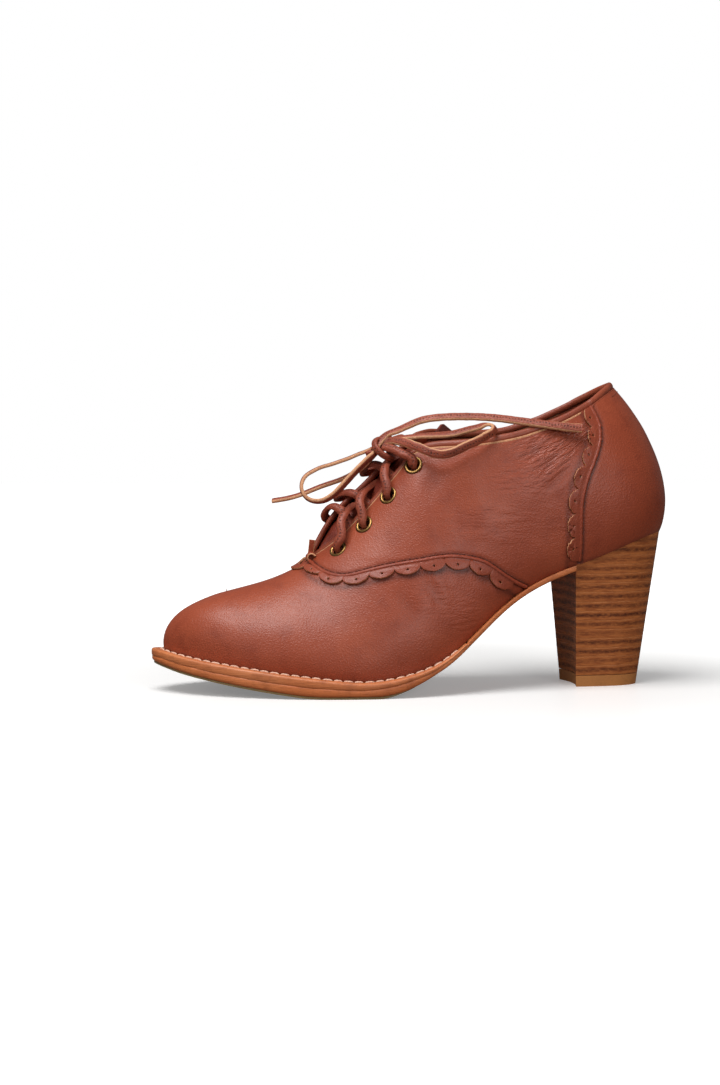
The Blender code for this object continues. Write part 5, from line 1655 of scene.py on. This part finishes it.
def makeWelt():
    girth = toeSpacing(girthAt(soleSet["weltStart"]), 150, toeGirth)
    margin = soleMargin(girth) + 0.1
    thick = tableValue(soleSet["weltThick"], np.interp(girth, footGirth, footStation))
    wave = 0.05 * np.sin(girth * 0.42) + 0.04 * np.sin(girth * 1.1)
    rounding = np.minimum(1.25, 0.45 * thick)
    level = 0 * girth
    profile = [(level - soleSet["weltInset"], thick), (level - soleSet["weltInset"], level)]
    profile += [(level + 0.3, level), (0.42 * margin, level)]
    for turn in np.radians((0, 22, 45, 68, 90)):
        profile.append((margin + wave - rounding * (1 - math.sin(turn)), rounding * (1 - math.cos(turn))))
    for share, inset in soleSet["edge"][4:]:
        profile.append((margin + wave - inset * np.minimum(1, 0.3 * thick), share * thick))
    loops = []
    for side in (-1, 1):
        columns = []
        for reach, depth in profile:
            plan = outline(side, girth, reach)
            columns.append(np.column_stack([plan, footHeight(plan[:, 0]) - soleSet["gap"] - depth]))
        grid = np.stack(columns, axis=1)
        loops.append(grid if side < 0 else grid[-2::-1])
    meshPiece("welt_strip", *rings(np.vstack(loops)), [looks["welt"]], "welt_leather", ["welt"])
    stitches = []
    for side in (-1, 1):
        line = np.linspace(girthAt(soleSet["weltStart"] + 4.0), toeGirth - 2.5, 400)
        plan = outline(side, line, np.full(len(line), soleSet["stitchReach"]))
        route = np.column_stack([plan, footHeight(plan[:, 0]) - soleSet["gap"]])
        walked = lengthAlong(route)
        tangent = unit(np.gradient(route, axis=0))
        for number, spot in enumerate(np.arange(walked[-1], 0, -soleSet["stitchPitch"])):
            i = min(int(np.searchsorted(walked, spot)), len(route) - 1)
            lean = 0.05 * math.sin(number * 1.7)
            up = unit(np.array([0.0, lean, 1.0]) - tangent[i] * tangent[i][2])
            long = soleSet["stitchLong"] * (1 + 0.06 * math.sin(number * 2.9))
            stitches.append(capsule(route[i] + up * 0.2, tangent[i], up, long, soleSet["stitchThick"]))
    meshPiece("welt_stitches", *joinMeshes(stitches), [looks["weltThread"]], "welt_leather")


def makeInsole():
    girth = toeSpacing(3.2, 120)
    inset = -soleSet["weltInset"] - soleSet["gap"]
    plan = rungs(girth, np.full(len(girth), inset), 21)
    upper = atHeight(plan, lambda station: footHeight(station) + soleSet["insoleThick"])
    over = np.linspace(-1, 1, 21)[None, :]
    upper[..., 2] += -0.8 + 0.9 * np.abs(over)**2.5

    def underside(station):
        inside = np.asarray(station) > soleSet["back"] - 1.0
        return np.where(inside, outsoleTop(station) + soleSet["gap"], footHeight(station))

    slab("insole_board", [atHeight(plan, underside), upper], "insole", "insole_leather", ["insole"], 0.4)


# Heel

def heelPlan(share, rows=44, across=25):  # the heel's section as a D, bottom 0 to seat 1
    top, hollow = heelSet["breastTop"], heelSet["hollow"]
    stations = np.concatenate([[3.0], 2.5 + (top - 0.7 - 2.5) * np.linspace(0.02, 1, rows)**1.25])
    girth = np.array([max(3.0, girthAt(s)) for s in stations])
    plan = rungs(girth, np.full(len(girth), heelSet["inset"]), across)
    start, end = plan[0, 0, 0], plan[-1, 0, 0]
    part = (plan[..., 0] - start) / (end - start)
    side = np.linspace(-1, 1, across)[None, :]
    front = top - heelSet["breastLean"] * (1 - share)
    back = heelSet["backTop"] + (heelSet["backBottom"] - heelSet["backTop"]) * (1 - share)
    station = back + (front - back) * part - hollow * (1 - side**2) * part**3
    narrow = heelSet["taper"] + (1 - heelSet["taper"]) * share
    return np.stack([station, plan[..., 1] * narrow], axis=-1)


def makeHeel():
    tip, gap = heelSet["tip"], soleSet["gap"]
    top = atHeight(heelPlan(1.0), lambda station: footHeight(station) - gap)
    bottom = heelPlan(heelSet["stackFrom"])
    low = np.concatenate([bottom, np.full(bottom.shape[:2] + (1,), tip + gap)], axis=-1)
    layers = []
    for share in np.linspace(0, 1, heelSet["rows"]):
        level = low * (1 - share) + top * share
        middle = level.mean(axis=(0, 1))
        ridgeHere = ((level[..., 2] - heelSet["firstLayer"]) / heelSet["layer"]) % 1.0
        pinch = heelSet["ridge"] * np.exp(-((ridgeHere - 0.5) / 0.5)**2) - heelSet["joint"]
        level[..., :2] = middle[:2] + (level[..., :2] - middle[:2]) * (1 + pinch)[..., None]
        layers.append(level)
    slab("heel_stack_layers", layers, "stack", "heel_stack", ["heel_stack"])
    ground = heelPlan(0.0)
    upper = heelPlan(heelSet["tipTo"])
    first = np.concatenate([ground, np.zeros(ground.shape[:2] + (1,))], axis=-1)
    last = np.concatenate([upper, np.full(upper.shape[:2] + (1,), tip)], axis=-1)
    slab("heel_top_piece", [first, last], "heelRubber", "heel_rubber", ["heel_tip"], 0.5)
    print("heel made")


# Floor and light

stageSet = {
    "floorColour": linear(236, 235, 233), "floorLight": linear(242, 241, 240),
    "bounce": linear(132, 112, 98), "floorHalf": 9.0, "world": 0.14, "sky": 1.0,
    "glowReach": (0.08, 0.46), "floorGlow": (0.22, 1.0),
    "lamps": (
        {"name": "top", "place": (-0.32, -0.3, 1.0), "aim": (-0.02, 0.0, 0.05), "size": 0.75, "power": 12.2},
        {"name": "side", "place": (0.28, -1.0, 0.40), "aim": (0.0, 0.0, 0.06), "size": 0.3, "power": 2.3},
        {"name": "fill", "place": (-0.8, -0.7, 0.45), "aim": (0.0, 0.0, 0.06), "size": 0.5, "power": 1.1},
    ),
}


def makeStage():
    half = stageSet["floorHalf"]
    mesh = bpy.data.meshes.new("floor")
    corners = [(-half, -half, 0), (half, -half, 0), (half, half, 0), (-half, half, 0)]
    mesh.from_pydata(corners, [], [(0, 1, 2, 3)])
    floor = bpy.data.objects.new("floor", mesh)
    scene.collection.objects.link(floor)
    fixed = {"Roughness": 0.35, "Specular IOR Level": 0.3, "Emission Color": (1, 1, 1, 1)}
    look, tree, shader = newLook("paleFloor", fixed)
    spot = objectPlace(tree)
    tone = mixColour(tree, noiseAt(tree, spot, 3.0), stageSet["floorColour"], stageSet["floorLight"])
    seen = addNode(tree, "LightPath").outputs["Is Camera Ray"]
    away = addNode(tree, "VectorMath", {0: spot}, operation="LENGTH").outputs["Value"]
    glow = remap(tree, away, *stageSet["glowReach"], *stageSet["floorGlow"])
    colour = mixColour(tree, seen, stageSet["bounce"], tone)
    feed(tree, shader, {"Base Color": colour, "Emission Strength": times(tree, seen, glow)})
    mesh.materials.append(look)
    world = bpy.data.worlds.new("studio")
    scene.world = world
    world.use_nodes = True
    tree = world.node_tree
    seen = addNode(tree, "LightPath").outputs["Is Camera Ray"]
    strength = timesPlus(tree, seen, stageSet["sky"] - stageSet["world"], stageSet["world"])
    feed(tree, tree.nodes["Background"], {"Color": (1, 1, 1, 1), "Strength": strength})
    for lamp in stageSet["lamps"]:
        light = bpy.data.lights.new(lamp["name"], "AREA")
        light.shape = "DISK"
        light.size = lamp["size"]
        light.energy = lamp["power"]
        holder = bpy.data.objects.new(lamp["name"], light)
        holder.location = lamp["place"]
        aim = Vector(lamp["aim"]) - Vector(lamp["place"])
        holder.rotation_euler = aim.to_track_quat("-Z", "Y").to_euler()
        scene.collection.objects.link(holder)
    scene.view_settings.view_transform = "Standard"
    print("stage lit")


makeCamera()
makeLooks()
makeBow()
makeLacing()
makeThroatCorner()
upperSkin = makeUpper()
surface = Surface(upperSkin)
makeLining()
makeCollar(surface)
seamPipes(surface)
makeTrims(surface)
makeEyelets()
makeTongue()
makeSole()
makeHeel()
makeStage()
